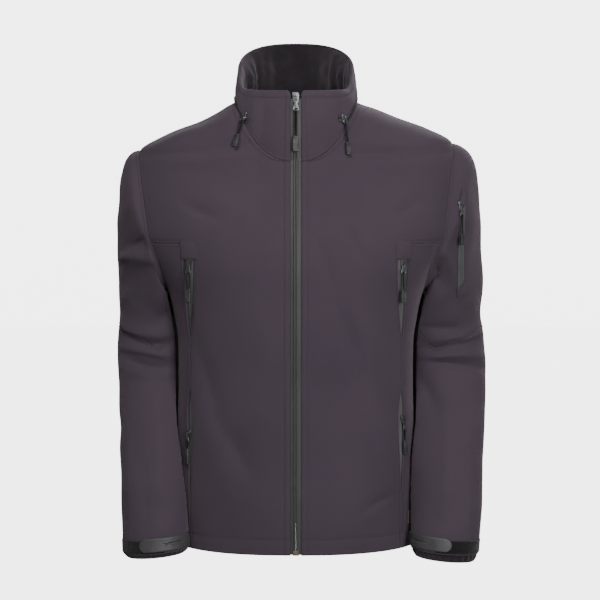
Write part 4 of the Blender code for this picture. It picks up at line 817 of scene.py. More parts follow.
def sleeveSurface(turns, rings, arm, middle=None):
    turns, rings = np.broadcast_arrays(np.asarray(turns, float), np.asarray(rings, float))
    plain = sleevePlain(turns, rings, arm)
    around = sleevePlain(turns + 0.10, rings, arm) - sleevePlain(turns - 0.10, rings, arm)
    down = sleevePlain(turns, rings + 0.08, arm) - sleevePlain(turns, np.maximum(rings - 0.08, 0), arm)
    normals = unit(np.cross(down, around))
    opposite = sleevePlain(turns + math.pi, rings, arm)
    flip = np.sign(np.sum(normals * (plain - opposite), axis=-1, keepdims=True))
    normals = normals * np.where(flip == 0, 1, flip)
    start = bodyNormal(math.pi / 2 - armhole["halfAngle"] * np.sin(turns), plain[..., 2])
    same = np.sum(start * normals, axis=-1)
    share = ease(0.1, 0.6, same) * (1 - ease(0, 0.5, rings))
    normals = unit(normals * (1 - share[..., None]) + start * share[..., None])
    side = np.array((arm, 1, 1))
    plain, normals, start = plain * side, normals * side, start * side
    atSeam = foldLift(plain, start, bodyFolds) * (1 - ease(0, 0.8, rings))
    plain = plain + start * atSeam[..., None]
    lift = foldLift(plain, normals, sleeveFolds) * ease(0.2, 1.2, rings)
    inward = ease(0.2, 0.8, normals[..., 0] * -arm)
    lift = np.where(lift > 0, lift * (1 - inward), lift)
    lift += ripple(plain, 0.0010, 0.075, 5) * ease(0.3, 1.5, rings) * ease(12, 11.2, rings) * (1 - inward)
    return uneven(plain + normals * lift[..., None]), normals


sleeveCut = {"around": 92, "upperRows": 74, "lowerRows": 92, "growth": 1.15, "gap": 0.006}


def elbowAt(turns):
    fromInner = np.abs((np.degrees(turns) % 360) - 180)
    return elbowRing(fromInner)


def sleevePanel(arm, part):
    turns = np.linspace(0, 2 * math.pi, sleeveCut["around"], endpoint=False)
    fine = np.array([0, 0.0025, 0.006, 0.011, 0.018, 0.026])
    count = sleeveCut[part + "Rows"]
    shares = np.concatenate([fine, np.linspace(0.026, 0.974, count)[1:-1], 1 - fine[::-1]])
    elbow = elbowAt(turns)
    if part == "upper":
        rings = shares[:, None] ** sleeveCut["growth"] * elbow[None, :]
    else:
        first = elbow + sleeveCut["gap"]
        rings = first[None, :] + (sleeveHem - first[None, :]) * shares[:, None] ** sleeveCut["growth"]
    points, normals = sleeveSurface(np.broadcast_to(turns, rings.shape), rings, arm)
    down = cumulative(points, 0)
    up = down[-1:] - down
    if part == "upper":
        lift = sewn(down, 0.0050, 0.0009) + sewn(up, cut["seamStitch"], 0.0009)
    else:
        lift = sewn(down, cut["seamStitch"], 0.0009) + sewn(up, cut["hemStitch"], 0.0006) * (up < 0.05)
    return Panel(points, normals, around=True).raised(lift)


def addSheet(name, panel, nodes):
    mesh = wallMesh(name, panel.points, panel.layer(-cut["cloth"]), panel.keep, panel.around, innerSlot=1)
    piece = addPiece(name, mesh, "jacket", nodes, (shell, lining))
    return piece


frontPanels, sidePanels, sleevePanels = {}, {}, {}
for sideName, side in (("left", 1), ("right", -1)):
    frontPanels[sideName] = frontPanel(side)
    sidePanels[sideName] = sidePanel(side)
    addSheet(f"frontPanel.{sideName}", frontPanels[sideName][0], [f"front_{sideName}"])
    addSheet(f"sidePanel.{sideName}", sidePanels[sideName][0], [f"side_{sideName}"])
    for part in ("upper", "lower"):
        sleevePanels[sideName, part] = sleevePanel(side, part)
        addSheet(f"{part}Sleeve.{sideName}", sleevePanels[sideName, part], [f"sleeve_{part}_{sideName}"])
backCloth = backPanel()
addSheet("backPanel", backCloth[0], ["back"])
print("body and sleeves made")


collarCut = {"topHalfWidth": 0.0925, "topFront": 0.092, "topBack": 0.075, "bulge": 0.003, "roll": 0.0024,
             "wall": 0.0010, "corner": 0.007, "puff": 0.017, "ridges": 0.0030, "ridgeCount": 9,
             "facingWall": 0.0014, "facingDepth": 0.0030}
EdgePoint = namedtuple("EdgePoint", "y z")
collarEdgeTable = (
    EdgePoint(-0.100, 0.0130), EdgePoint(-0.092, 0.0135), EdgePoint(-0.055, 0.0180), EdgePoint(-0.025, 0.0370),
    EdgePoint(0.000, 0.0550), EdgePoint(0.027, 0.0700), EdgePoint(0.045, 0.0790), EdgePoint(0.075, 0.0955),
)
(collarEdge,) = columnsOf(collarEdgeTable)
collarFolds = (
    Fold("front", -0.050, 0.010, -0.056, -0.052, 0.007, -0.0020, 0.003, 0.2, 0.3),
    Fold("front", -0.066, 0.004, -0.070, -0.040, 0.008, 0.0018, 0.002, 0.0, 0.2),
    Fold("front", 0.066, 0.000, 0.076, -0.036, 0.008, -0.0026, 0.003, 0.2, 0.3),
    Fold("front", 0.046, 0.006, 0.050, -0.060, 0.010, 0.0014, 0.003, 0.0, 0.1),
    Fold("front", -0.030, 0.000, -0.034, -0.070, 0.010, 0.0010, 0.003, 0.0, 0.1),
    Fold("back", -0.050, 0.080, -0.044, 0.010, 0.012, -0.0018, 0.004, 0.0, 0.2),
    Fold("back", 0.045, 0.080, 0.050, 0.010, 0.012, -0.0018, 0.004, 0.0, 0.2),
)


def neckline():
    # the neckline from the wearer's left zip edge round the back to the right one, evenly divided
    x = np.linspace(cut["zipHalfWidth"], cut["neckHalfWidth"] - 0.0002, 220)
    z = -cut["neckDrop"] * (1 - (x / cut["neckHalfWidth"]) ** cut["neckCurve"])
    front = bodySurface(angleAtX(x, z), z)
    back = bodySurface(np.linspace(math.pi / 2 + 0.01, math.pi, 160), np.zeros(160))
    half = np.concatenate([front[0] - front[1] * 0.0008, back[0] - back[1] * 0.0008])
    whole = np.concatenate([half, half[-2::-1] * (-1, 1, 1)])
    length = np.concatenate([[0], np.cumsum(np.linalg.norm(np.diff(whole, axis=0), axis=1))])
    shares = spacing(length[-1], 0.0034) * length[-1]
    return np.stack([np.interp(shares, length, whole[:, i]) for i in range(3)], axis=-1), shares, length[-1]


def collarTop(base):
    x = np.abs(base[:, 0])
    share = np.clip((x - cut["zipHalfWidth"]) / (cut["neckHalfWidth"] - cut["zipHalfWidth"]), 0, 1)
    ahead = base[:, 1] < 0
    frontX = cut["zipHalfWidth"] + share * (collarCut["topHalfWidth"] - cut["zipHalfWidth"])
    backX = np.minimum(x / cut["neckHalfWidth"], 1) * collarCut["topHalfWidth"]
    x = np.where(ahead, frontX, backX)
    rest = np.clip(1 - (x / collarCut["topHalfWidth"]) ** 2.5, 0, 1) ** 0.4
    y = np.where(ahead, -collarCut["topFront"] * rest, collarCut["topBack"] * rest)
    return np.stack([np.sign(base[:, 0]) * x, y, collarEdge(y)], axis=-1)


def gridNormals(points, hint):
    normals = unit(np.cross(np.gradient(points, axis=1), np.gradient(points, axis=0)))
    flip = np.sign(np.sum(normals * hint, axis=-1, keepdims=True))
    return normals * np.where(flip == 0, 1, flip)


def collarPlain(levels):
    base, along, total = neckline()
    top = collarTop(base)
    rise = unit(top - base)
    fromZip = np.minimum(along, total - along)
    r = collarCut["corner"]
    inside = np.clip(r - fromZip, 0, r)
    top = top - rise * (r - np.sqrt(r * r - inside**2))[:, None]
    plain = base[None] + (top - base)[None] * levels[:, None, None]
    normals = gridNormals(plain, plain * (1, 1, 0) - (0, -0.01, 0))
    bulge = collarCut["bulge"] * np.sin(np.pi * levels)[:, None]
    return plain + normals * bulge[..., None], normals, rise, fromZip


def collarOuter():
    levels = np.concatenate([spacing(0.10, 0.0036)])
    points, normals, rise, fromZip = collarPlain(levels)
    height = cumulative(points, 0)
    down = height[-1:] - height
    quiet = ease(0.004, 0.03, fromZip)[None, :]
    lift = foldLift(points, normals, collarFolds) * quiet * ease(0, 0.02, height) * ease(-0.002, 0.014, down)
    lift += ripple(points, 0.0008, 0.06, 11) * quiet * ease(0, 0.015, height)
    lift += sewn(height, cut["seamStitch"], 0.0006) + sewn(down, 0.0095, 0.0001)
    lift += sewn(fromZip, 0.0095, 0.0006)[None, :]
    points = points + normals * lift[..., None]
    top, n = points[-1], normals[-1]
    rows, directions = [], []
    r = collarCut["roll"]
    for a in np.radians((20, 45, 70, 95, 120, 145, 170)):
        rows.append(top + rise * r * math.sin(a) - n * r * (1 - math.cos(a)))
        directions.append(n * math.cos(a) + rise * math.sin(a))
    return Panel(np.concatenate([points, rows]), unit(np.concatenate([normals, directions])))


def collarFacing():
    levels = np.linspace(0.06, 0.99, 34)
    points, normals, rise, fromZip = collarPlain(levels)
    x, y = points[..., 0], points[..., 1]
    belly = np.sin(np.pi * levels)[:, None] ** 0.8
    away = ease(0.02, 0.075, np.abs(x))
    back = ease(-0.03, 0.04, y)
    puff = collarCut["puff"] * belly * np.maximum(0.15 * away, away * (0.35 + 0.65 * back))
    turn = np.arctan2(x, y)
    wander = 0.5 * np.sin(levels[:, None] * 4 + turn * 2)
    ridge = np.sin(turn * collarCut["ridgeCount"] + wander) + 0.45 * np.sin(turn * 23 + 2.5 * wander + 1)
    puff = puff + collarCut["ridges"] * belly * (0.3 + 0.7 * back) * away * (1 + ridge * 0.9)
    puff = puff + np.abs(ripple(points, 0.0012, 0.03, 17)) * belly
    depth = collarCut["facingDepth"] + 0.0018 * (1 - ease(0.022, 0.040, np.abs(x))) + puff
    return Panel(points - normals * depth[..., None], unit(normals * (1, 1, 0.2)))


def addWall(name, outer, inner, nodes, materials, keep=None, around=False, innerSlot=0):
    rows, columns = outer.shape[:2]
    keep = np.ones((rows - 1, columns if around else columns - 1), bool) if keep is None else keep
    return addPiece(name, wallMesh(name, outer, inner, keep, around, innerSlot), "jacket", nodes,
                    materials)


def asSheet(piece):
    return piece


collarPanel = collarOuter()
asSheet(addWall("collarShell", collarPanel.points, collarPanel.layer(-collarCut["wall"]),
                ["collar_outer"], (shell,)))
facingPanel = collarFacing()
asSheet(addWall("collarFacing", facingPanel.points, facingPanel.layer(-collarCut["facingWall"]),
                ["collar_facing"],
                (collarLining,)))
print("collar made")

mainZip = {"depth": 0.0024, "ridge": 0.0011, "slit": 0.0006, "wall": 0.0009, "topLevel": 0.965,
           "teethUnder": 0.0004, "toothPitch": 0.0013, "toothLength": 0.0009, "toothRadius": 0.0011}
zipAcross = np.array([0.00012, 0.0005, 0.0011, 0.0019, 0.0027, 0.0034, 0.0042, 0.0056, 0.0070, 0.0085, 0.0104,
                      0.0124])


def zipHalf(side):
    # one tape of the main zip, from the teeth to under the panel's edge
    z = np.arange(-cut["neckDrop"] - 0.0002, cut["hem"] - 0.001, -0.0036)
    onBody = bodySurface(angleAtX(zipAcross[None, :], z[:, None]) * side, z[:, None] + 0 * zipAcross[None, :])
    levels = np.linspace(0.01, mainZip["topLevel"], 30)[::-1]
    points, normals, rise, fromZip = collarPlain(levels)
    if side < 0:
        points, normals = points[:, ::-1], normals[:, ::-1]
    collar, directions = [], []
    for row, turned in zip(points, normals):
        x = np.abs(row[:12, 0])
        y = np.interp(zipAcross, x, row[:12, 1])
        height = np.interp(zipAcross, x, row[:12, 2])
        collar.append(np.stack([zipAcross * side, y, height], axis=-1))
        flat = unit(turned[0] * (0, 1, 1))
        directions.append(np.repeat(flat[None], len(zipAcross), axis=0))
    grid = np.concatenate([collar, onBody[0]])
    out = np.concatenate([directions, onBody[1]])
    offset = mainZip["ridge"] * ease(0.0044, 0.0024,
                                     zipAcross) - mainZip["slit"] * np.exp(-((zipAcross / 0.0006) ** 2))
    offset = offset - mainZip["depth"] - 0.0010 * ease(0.0078, 0.0100, zipAcross)
    return Panel(grid + out * offset[None, :, None], out)


tapeEdges = []
for sideName, side in (("left", 1), ("right", -1)):
    tape = zipHalf(side)
    tapeEdges.append(tape.points[:, 0] - tape.normals[:, 0] * mainZip["teethUnder"])
    addWall(f"mainTape.{sideName}", tape.points, tape.layer(-mainZip["wall"]),
            [f"zip_tape_{sideName}"],
            (mainTape,))

pocketZip = {"depth": 0.0030, "ridge": 0.0014, "slit": 0.0012, "under": 0.0055, "wall": 0.0009}


def pocketTapePanel(side, top, bottom):
    rows, out = [], []
    share = np.linspace(-1, 1, 15)
    for z in np.arange(top, bottom, -0.0030):
        half = max(float(slitWidth(z)), 0.0004) / 2
        inner = share * half
        x = cut["pocketSeam"] + np.concatenate([[-half - pocketZip["under"], -half - 0.002], inner,
                                                [half + 0.002, half + pocketZip["under"]]])
        points, normals = bodySurface(angleAtX(x, z) * side, z + 0 * x)
        middle = np.abs(x - cut["pocketSeam"])
        lift = pocketZip["ridge"] * ease(0.9, 0.4, middle / half) - pocketZip["depth"]
        lift -= pocketZip["slit"] * np.exp(-((middle / 0.0007) ** 2))
        rows.append(points + normals * lift[:, None])
        out.append(normals)
    return Panel(np.array(rows), np.array(out))


for sideName, side in (("left", 1), ("right", -1)):
    for name, top, bottom in (("chest", -0.2440, -0.3815), ("hand", -0.4470, -0.6300)):
        tape = pocketTapePanel(side, top, bottom)
        addWall(f"{name}Tape.{sideName}", tape.points, tape.layer(-pocketZip["wall"]),
                [f"{name}_zip_tape_{sideName}"], (pocketTape,))

hoodZip = {"front": 0.42, "back": 0.10, "width": 0.0092, "lift": 0.0006, "wall": 0.0010, "first": 0.070,
           "spread": 0.034}


def hoodZipPanel():
    base, along, total = neckline()
    fine = np.linspace(0, 1, 121)
    points, normals, rise, fromZip = collarPlain(fine)
    fullHeight = np.linalg.norm(points[-1] - points[0], axis=-1)
    columns = np.nonzero(fromZip > hoodZip["first"])[0]
    across = np.linspace(-0.5, 0.5, 9)
    rows = np.empty((len(across), len(columns), 3))
    out = np.empty_like(rows)
    for i, c in enumerate(columns):
        level = hoodZip["back"] + (hoodZip["front"] - hoodZip["back"]) * (1 - float(ease(0, hoodZip["spread"],
                fromZip[c] - hoodZip["first"])))
        at = level - across * hoodZip["width"] / fullHeight[c]
        for axis in range(3):
            rows[:, i, axis] = np.interp(at, fine, points[:, c, axis])
            out[:, i, axis] = np.interp(at, fine, normals[:, c, axis])
    profile = hoodZip["lift"] + 0.0006 * ease(0.40, 0.18,
                                              np.abs(across)) - 0.0014 * np.exp(-((across / 0.07) ** 2))
    return Panel(rows + out * (profile + 0.0008)[:, None, None], out)


hoodTape = hoodZipPanel()
addWall("hoodTape", hoodTape.points, hoodTape.layer(-hoodZip["wall"]), ["hood_zip_tape"],
        (mainTape,))

sleeveZip = {"width": 0.011, "arm": 0.062, "lift": 0.0014, "wall": 0.0009, "first": 1.15, "last": 4.3,
             "ridge": 0.0005, "slit": 0.0016, "slitAt": 0.36, "slitHalf": 0.06}
Stop = namedtuple("Stop", "ring degrees")
sleeveZipTable = (Stop(1.15, 66), Stop(1.9, 71.5), Stop(2.8, 71.5), Stop(3.6, 70.5), Stop(4.3, 68.5))
(zipDegrees,) = columnsOf(sleeveZipTable)


def onSleeve(degrees, rings, arm, lift):
    points, normals = sleeveSurface(np.radians(degrees), rings, arm)
    return points + normals * np.asarray(lift)[..., None], normals


def sleeveZipPanel():
    rings = np.linspace(sleeveZip["first"], sleeveZip["last"], 60)
    across = np.linspace(-0.5, 0.5, 13)
    degrees = zipDegrees(rings)[:, None] + np.degrees(across * sleeveZip["width"] / sleeveZip["arm"])[None, :]
    slit = np.exp(-(((across + sleeveZip["slitAt"]) / sleeveZip["slitHalf"]) ** 2))
    ridge = ease(0.46, 0.25, np.abs(across))
    profile = sleeveZip["lift"] + sleeveZip["ridge"] * ridge - sleeveZip["slit"] * slit
    points, normals = onSleeve(degrees, rings[:, None] + 0 * degrees, 1, profile[None, :] + 0 * degrees)
    return Panel(points, normals)


sleeveTape = sleeveZipPanel()
addWall("sleeveTape", sleeveTape.points, sleeveTape.layer(-sleeveZip["wall"]),
        ["sleeve_zip_tape"], (pocketTape,))
print("zip tapes made")

cuff = {"stripRings": (11.56, 11.96), "stripDegrees": (-108, 108), "stripLift": 0.0012,
        "tabRings": (11.50, 11.92), "tabDegrees": {1: (82, 180), -1: (64, 162)}, "tabEnd": 8,
        "rubber": 0.0018, "tabLift": 0.0014, "shows": {1: 0.012, -1: 0.006}, "shrink": 0.004,
        "gathers": 30, "gather": 0.0012, "hollow": 0.0012}


def loopStrip(side):
    rings = np.linspace(*cuff["stripRings"], 9)
    degrees = np.linspace(*cuff["stripDegrees"], 90)
    edge = np.minimum(np.arange(9), 8 - np.arange(9))
    lift = cuff["stripLift"] - 0.0007 * (edge == 0)
    points, normals = onSleeve(degrees[None, :] + 0 * rings[:, None], rings[:, None] + 0 * degrees[None, :],
                               side,
                               lift[:, None] + 0 * degrees[None, :])
    return Panel(points, normals)


def cuffTab(side):
    # the tab's own outline is rounded at its free end, with a teardrop pressed into it
    share = np.concatenate([[0, 0.015, 0.05], np.linspace(0.1, 0.9, 17), [0.95, 0.985, 1]])
    along = np.concatenate([[0, 0.004, 0.012], np.linspace(0.025, 0.985, 62), [0.995, 1]])
    across = 2 * share - 1
    first, last = cuff["tabDegrees"][side]
    free = first + cuff["tabEnd"] * 1.6 * (1 - np.sqrt(np.clip(1 - 0.985 * across**2, 0, 1)))
    degrees = free[:, None] + (last - free[:, None]) * along[None, :]
    rings = cuff["tabRings"][0] + share[:, None] * (cuff["tabRings"][1] - cuff["tabRings"][0]) + 0 * degrees
    edge = np.minimum(np.minimum(share, 1 - share)[:, None] * 17, along[None, :] * 60)
    round_ = 0.0007 * (1 - np.sqrt(np.clip(edge / 1.2, 0, 1)))
    u = (degrees - first - 57) / 24
    half = 0.30 * np.sqrt(np.clip(1 - u**2, 0, 1)) * np.clip((u + 1) / 1.5, 0, 1) ** 0.75
    inside = ease(0.0, 0.09, half - np.abs(across[:, None] + 0.05))
    rim = 0.0002 * np.exp(-(((half - np.abs(across[:, None] + 0.05) + 0.03) / 0.05) ** 2)) * (half > 0.02)
    lift = cuff["tabLift"] + cuff["rubber"] - round_ - cuff["hollow"] * inside + rim
    points, normals = onSleeve(degrees, rings, side, lift)
    return Panel(points, normals)


def innerCuff(side):
    # a gathered band that shows below the hem, turned in at its lower edge
    turns = np.linspace(0, 2 * math.pi, 150, endpoint=False)
    hem, normals = sleeveSurface(turns, np.full(150, float(sleeveHem)), side)
    above, _ = sleeveSurface(turns, np.full(150, sleeveHem - 0.45), side)
    middle = hem.mean(axis=0)
    inset = cut["cloth"] + 0.0009
    rows = []
    for t in np.linspace(0, 1, 5)[:-1]:
        rows.append((above + (hem - above) * t) - normals * inset)
    for t in np.linspace(0, 1, 12):
        drop = cuff["shows"][side] * t
        height = cuff["gather"] * math.sin(math.pi * min(1, t * 1.1))
        gather = height * np.sin(turns * cuff["gathers"] + 1.7 * np.sin(turns * 3) + 2 * t)
        shrink = inset + cuff["shrink"] * t**1.6 - gather
        rows.append(hem - normals * shrink[:, None] - np.array((0, 0, drop)))
    points = np.array(rows)
    outward = gridNormals(points, points - middle)
    return Panel(points, outward, around=True)


for sideName, side in (("left", 1), ("right", -1)):
    strip = loopStrip(side)
    addWall(f"loopStrip.{sideName}", strip.points, strip.layer(-0.0011),
            [f"loop_strip_{sideName}"], (loopPile,))
    tab = cuffTab(side)
    addWall(f"cuffTab.{sideName}", tab.points, tab.layer(-cuff["rubber"] + 0.0003),
            [f"cuff_tab_{sideName}"], (tabRubber,))
    inner = innerCuff(side)
    asSheet(addWall(f"innerCuff.{sideName}", inner.points, inner.layer(-0.0014),
                    [f"inner_cuff_{sideName}"],
                    (collarLining,), around=True))

low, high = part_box("label")
labelX = np.linspace(low[0], high[0], 12)
labelZ = np.linspace(high[2], low[2], 14)
labelPoints, labelOut = bodySurface(angleAtX(labelX[None, :], labelZ[:, None]),
                                    labelZ[:, None] + 0 * labelX[None, :])
labelPoints = labelPoints + labelOut * (0.0012 + 0.0003 * np.sin(np.linspace(0, math.pi, 14)))[:, None, None]
addWall("bareLabel", labelPoints, labelPoints - labelOut * 0.0007, ["label"], (labelCloth,))
print("cuffs and label made")

# Patches over the top of the chest zips and both ends of the sleeve zip
patches = {"lift": 0.0013, "dome": 0.0014, "wall": 0.0010}


def patchLift(rows, columns):
    v = np.linspace(0, 1, rows)[:, None]
    u = np.abs(np.linspace(-1, 1, columns))[None, :]
    edge = np.minimum(np.minimum(v, 1 - v) * rows / 2, (1 - u) * columns / 4)
    dome = np.sin(np.pi * np.clip(v * 0.75, 0, 1)) * (1 - u**2)
    return patches["lift"] + patches["dome"] * dome - 0.0009 * (edge < 0.3)


def chestPatch(side):
    z = np.linspace(-0.2170, -0.2465, 16)
    x = np.linspace(0.1548, 0.1812, 14)[None, :] - 0.0015 * np.linspace(0, 1, 16)[:, None]
    points, normals = bodySurface(angleAtX(x, z[:, None]) * side, z[:, None] + 0 * x)
    return Panel(points + normals * patchLift(16, 14)[..., None], normals)


def sleevePatch(first, last):
    rings = np.linspace(first, last, 14)
    across = np.linspace(-0.62, 0.62, 12)
    degrees = zipDegrees(np.clip(rings, sleeveZip["first"], sleeveZip["last"]))[:,
            None] + np.degrees(across * sleeveZip["width"] / sleeveZip["arm"])[None, :]
    points, normals = onSleeve(degrees, rings[:, None] + 0 * degrees, 1, patchLift(14, 12) + 0.0016)
    return Panel(points, normals)


patchPanels = {"chestPatch.left": chestPatch(1), "chestPatch.right": chestPatch(-1),
               "sleevePatch.top": sleevePatch(0.92, 1.38), "sleevePatch.bottom": sleevePatch(4.26, 4.62)}
for name, panel in patchPanels.items():
    addWall(name, panel.points, panel.layer(-patches["wall"]), [], (shell,))
print("patches made")

sewing = {"pitch": 0.0029, "length": 0.0021, "radius": 0.00034, "lift": 0.00010}


def lineDown(panel, distance, rows=slice(None), column=0, fromLast=False, lastColumn=-1):
    # points down a panel at this distance from one of its columns
    grid, out = panel.points[rows], panel.normals[rows]
    run = cumulative(grid, 1)
    along = run[:, lastColumn][:, None] - run if fromLast else run - run[:, column][:, None]
    result = []
    for r in range(len(grid)):
        order = slice(None, None, -1) if fromLast else slice(None)
        point = [np.interp(distance, along[r][order], grid[r, :, i][order]) for i in range(3)]
        turned = [np.interp(distance, along[r][order], out[r, :, i][order]) for i in range(3)]
        result.append(np.array(point) + np.array(turned) * sewing["lift"])
    return np.array(result)


def lineAcross(panel, distance, columns=slice(None), fromLast=True):
    flipped = Panel(panel.points.transpose(1, 0, 2)[columns], panel.normals.transpose(1, 0, 2)[columns])
    return lineDown(flipped, distance, fromLast=fromLast)


def closed(line):
    return np.concatenate([line, line[:1]])


stitchRows = {"front": [], "side": [], "back": [], "collar": [], "sleeve": [], "patch": []}
for sideName, side in (("left", 1), ("right", -1)):
    panel, heights = frontPanels[sideName]
    count = len(spacing(0.165, cut["pitch"]))
    stitchRows["front"].append(lineDown(panel, 0.0095))
    hemLine = lineAcross(panel, cut["hemStitch"], slice(0, count))
    stitchRows["front"].append(hemLine)
    below = heights < barHeight - 0.003
    grid = Panel(panel.points[below][:, :count], panel.normals[below][:, :count])
    stitchRows["front"].append(lineDown(grid, cut["seamStitch"], fromLast=True))
    above = heights > barHeight
    grid = Panel(panel.points[above][:, count:], panel.normals[above][:, count:])
    stitchRows["front"].append(lineAcross(grid, cut["seamStitch"]))
    sidePiece = sidePanels[sideName][0]
    stitchRows["side"].append(lineDown(sidePiece, cut["seamStitch"]))
    stitchRows["side"].append(lineAcross(sidePiece, cut["hemStitch"]))
    upper, lower = sleevePanels[sideName, "upper"], sleevePanels[sideName, "lower"]
    stitchRows["sleeve"].append(closed(lineAcross(upper, cut["seamStitch"])))
    stitchRows["sleeve"].append(closed(lineAcross(lower, cut["seamStitch"], fromLast=False)))
    stitchRows["sleeve"].append(closed(lineAcross(lower, cut["hemStitch"])))
    stitchRows["sleeve"].append(closed(lineAcross(upper, 0.0050, fromLast=False)))
    strip = loopStrip(side)
    stitchRows["sleeve"].append(lineAcross(strip, 0.0016, fromLast=False))
    stitchRows["sleeve"].append(lineAcross(strip, 0.0016))
stitchRows["back"].append(lineAcross(backCloth[0], cut["hemStitch"]))
stitchRows["collar"].append(lineAcross(Panel(collarPanel.points[:-7], collarPanel.normals[:-7]), 0.0095,
                                       slice(6, -6)))
stitchRows["collar"].append(lineDown(Panel(collarPanel.points[:-12], collarPanel.normals[:-12]), 0.0095))
stitchRows["collar"].append(lineDown(Panel(collarPanel.points[:-12], collarPanel.normals[:-12]), 0.0095,
                                     fromLast=True))
for panel in patchPanels.values():
    stitchRows["patch"].append(lineDown(panel, 0.0018))
    stitchRows["patch"].append(lineDown(panel, 0.0018, fromLast=True))
    stitchRows["patch"].append(lineAcross(panel, 0.0018, fromLast=False))


def stitchTree():
    # resample a path, lay a capsule along it at every stitch
    tree = bpy.data.node_groups.new("stitches", "GeometryNodeTree")
    tree.interface.new_socket("Geometry", in_out="INPUT", socket_type="NodeSocketGeometry")
    for name, kind in (("Pitch", "NodeSocketFloat"), ("Length", "NodeSocketFloat"),
                       ("Radius", "NodeSocketFloat"), ("Thread", "NodeSocketMaterial")):
        tree.interface.new_socket(name, in_out="INPUT", socket_type=kind)
    tree.interface.new_socket("Geometry", in_out="OUTPUT", socket_type="NodeSocketGeometry")

    def add(kind, settings=None, **links):
        made = tree.nodes.new(kind)
        for key, value in (settings or {}).items():
            setattr(made, key, value)
        for key, value in links.items():
            key = key.replace("_", " ")
            if isinstance(value, bpy.types.NodeSocket):
                tree.links.new(value, made.inputs[key])
            else:
                made.inputs[key].default_value = value
        return made

    source = add("NodeGroupInput")
    even = add("GeometryNodeResampleCurve", {"mode": "LENGTH"}, Curve=source.outputs["Geometry"],
               Length=source.outputs["Pitch"])
    points = add("GeometryNodeCurveToPoints", {"mode": "EVALUATED"}, Curve=even.outputs[0])
    ball = add("GeometryNodeMeshUVSphere", Segments=6, Rings=4, Radius=source.outputs["Radius"])
    shape = add("GeometryNodeTransform", Geometry=ball.outputs[0])
    half = add("ShaderNodeMath", {"operation": "DIVIDE"})
    tree.links.new(source.outputs["Length"], half.inputs[0])
    tree.links.new(source.outputs["Radius"], half.inputs[1])
    half2 = add("ShaderNodeMath", {"operation": "MULTIPLY"})
    tree.links.new(half.outputs[0], half2.inputs[0])
    half2.inputs[1].default_value = 0.5
    size = add("ShaderNodeCombineXYZ", X=1.0, Y=1.0)
    tree.links.new(half2.outputs[0], size.inputs["Z"])
    tree.links.new(size.outputs[0], shape.inputs["Scale"])
    laid = add("GeometryNodeInstanceOnPoints", Points=points.outputs["Points"], Instance=shape.outputs[0])
    tree.links.new(points.outputs["Rotation"], laid.inputs["Rotation"])
    real = add("GeometryNodeRealizeInstances", Geometry=laid.outputs[0])
    finished = add("GeometryNodeSetMaterial", Geometry=real.outputs[0], Material=source.outputs["Thread"])
    result = add("NodeGroupOutput")
    tree.links.new(finished.outputs[0], result.inputs[0])
    return tree


stitchNodes = stitchTree()


def pathCurve(name, lines):
    curve = bpy.data.curves.new(name, "CURVE")
    curve.dimensions = "3D"
    for line in lines:
        spline = curve.splines.new("POLY")
        spline.points.add(len(line) - 1)
        spline.points.foreach_set("co", np.concatenate([line, np.ones((len(line), 1))], axis=1).ravel())
    return curve


def setInput(modifier, tree, name, value):
    for item in tree.interface.items_tree:
        if item.name == name and item.in_out == "INPUT":
            modifier[item.identifier] = value


def sewnRows(name, lines, material, pitch, length, radius):
    carrier = bpy.data.objects.new(name, pathCurve(name, lines))
    bpy.context.scene.collection.objects.link(carrier)
    modifier = carrier.modifiers.new("stitches", "NODES")
    modifier.node_group = stitchNodes
    for key, value in (("Pitch", pitch), ("Length", length), ("Radius", radius), ("Thread", material)):
        setInput(modifier, stitchNodes, key, value)
    graph = bpy.context.evaluated_depsgraph_get()
    mesh = bpy.data.meshes.new_from_object(carrier.evaluated_get(graph))
    bpy.data.objects.remove(carrier, do_unlink=True)
    mesh.name = name
    mesh.shade_smooth()
    return mesh


for name, lines in stitchRows.items():
    mesh = sewnRows(f"stitches.{name}", lines, thread, sewing["pitch"], sewing["length"], sewing["radius"])
    addPiece(f"stitches.{name}", mesh, "jacket", (), () if mesh.materials else (thread,))
    print("stitches", name, len(mesh.polygons))

teeth = sewnRows("mainTeeth", [(tapeEdges[0] + tapeEdges[1]) / 2], coilNylon, mainZip["toothPitch"],
                 mainZip["toothLength"], mainZip["toothRadius"])
addPiece("mainTeeth", teeth, "jacket", (), () if teeth.materials else (coilNylon,))
print("teeth", len(teeth.polygons))

pullLook = {"sliderWidth": 0.0075, "sliderLength": 0.0110, "rise": 0.0010, "thickness": 0.0024,
            "aboveBody": 0.0012,
            "cord": 0.0016, "gripBevel": 0.0011, "tabThick": 0.0012}
Pull = namedtuple("Pull", "name scale tab tabWidth cord grip gripWidth")
pulls = (
    Pull("main", 1.45, 0.0195, 0.0112, 0.0415, 0.0250, 0.0095),
    Pull("hood_right", 1.15, 0.0090, 0.0076, 0.0225, 0.0215, 0.0070),
    Pull("hood_left", 1.15, 0.0090, 0.0076, 0.0310, 0.0205, 0.0070),
    Pull("chest_right", 1.40, 0.0165, 0.0098, 0.0270, 0.0205, 0.0080),
    Pull("chest_left", 1.40, 0.0165, 0.0098, 0.0270, 0.0205, 0.0080),
    Pull("hand_right", 1.15, 0.0120, 0.0086, 0.0125, 0.0255, 0.0078),
    Pull("hand_left", 1.15, 0.0165, 0.0090, 0.0175, 0.0230, 0.0078),
    Pull("sleeve", 1.30, 0.0165, 0.0094, 0.0300, 0.0165, 0.0075),
)


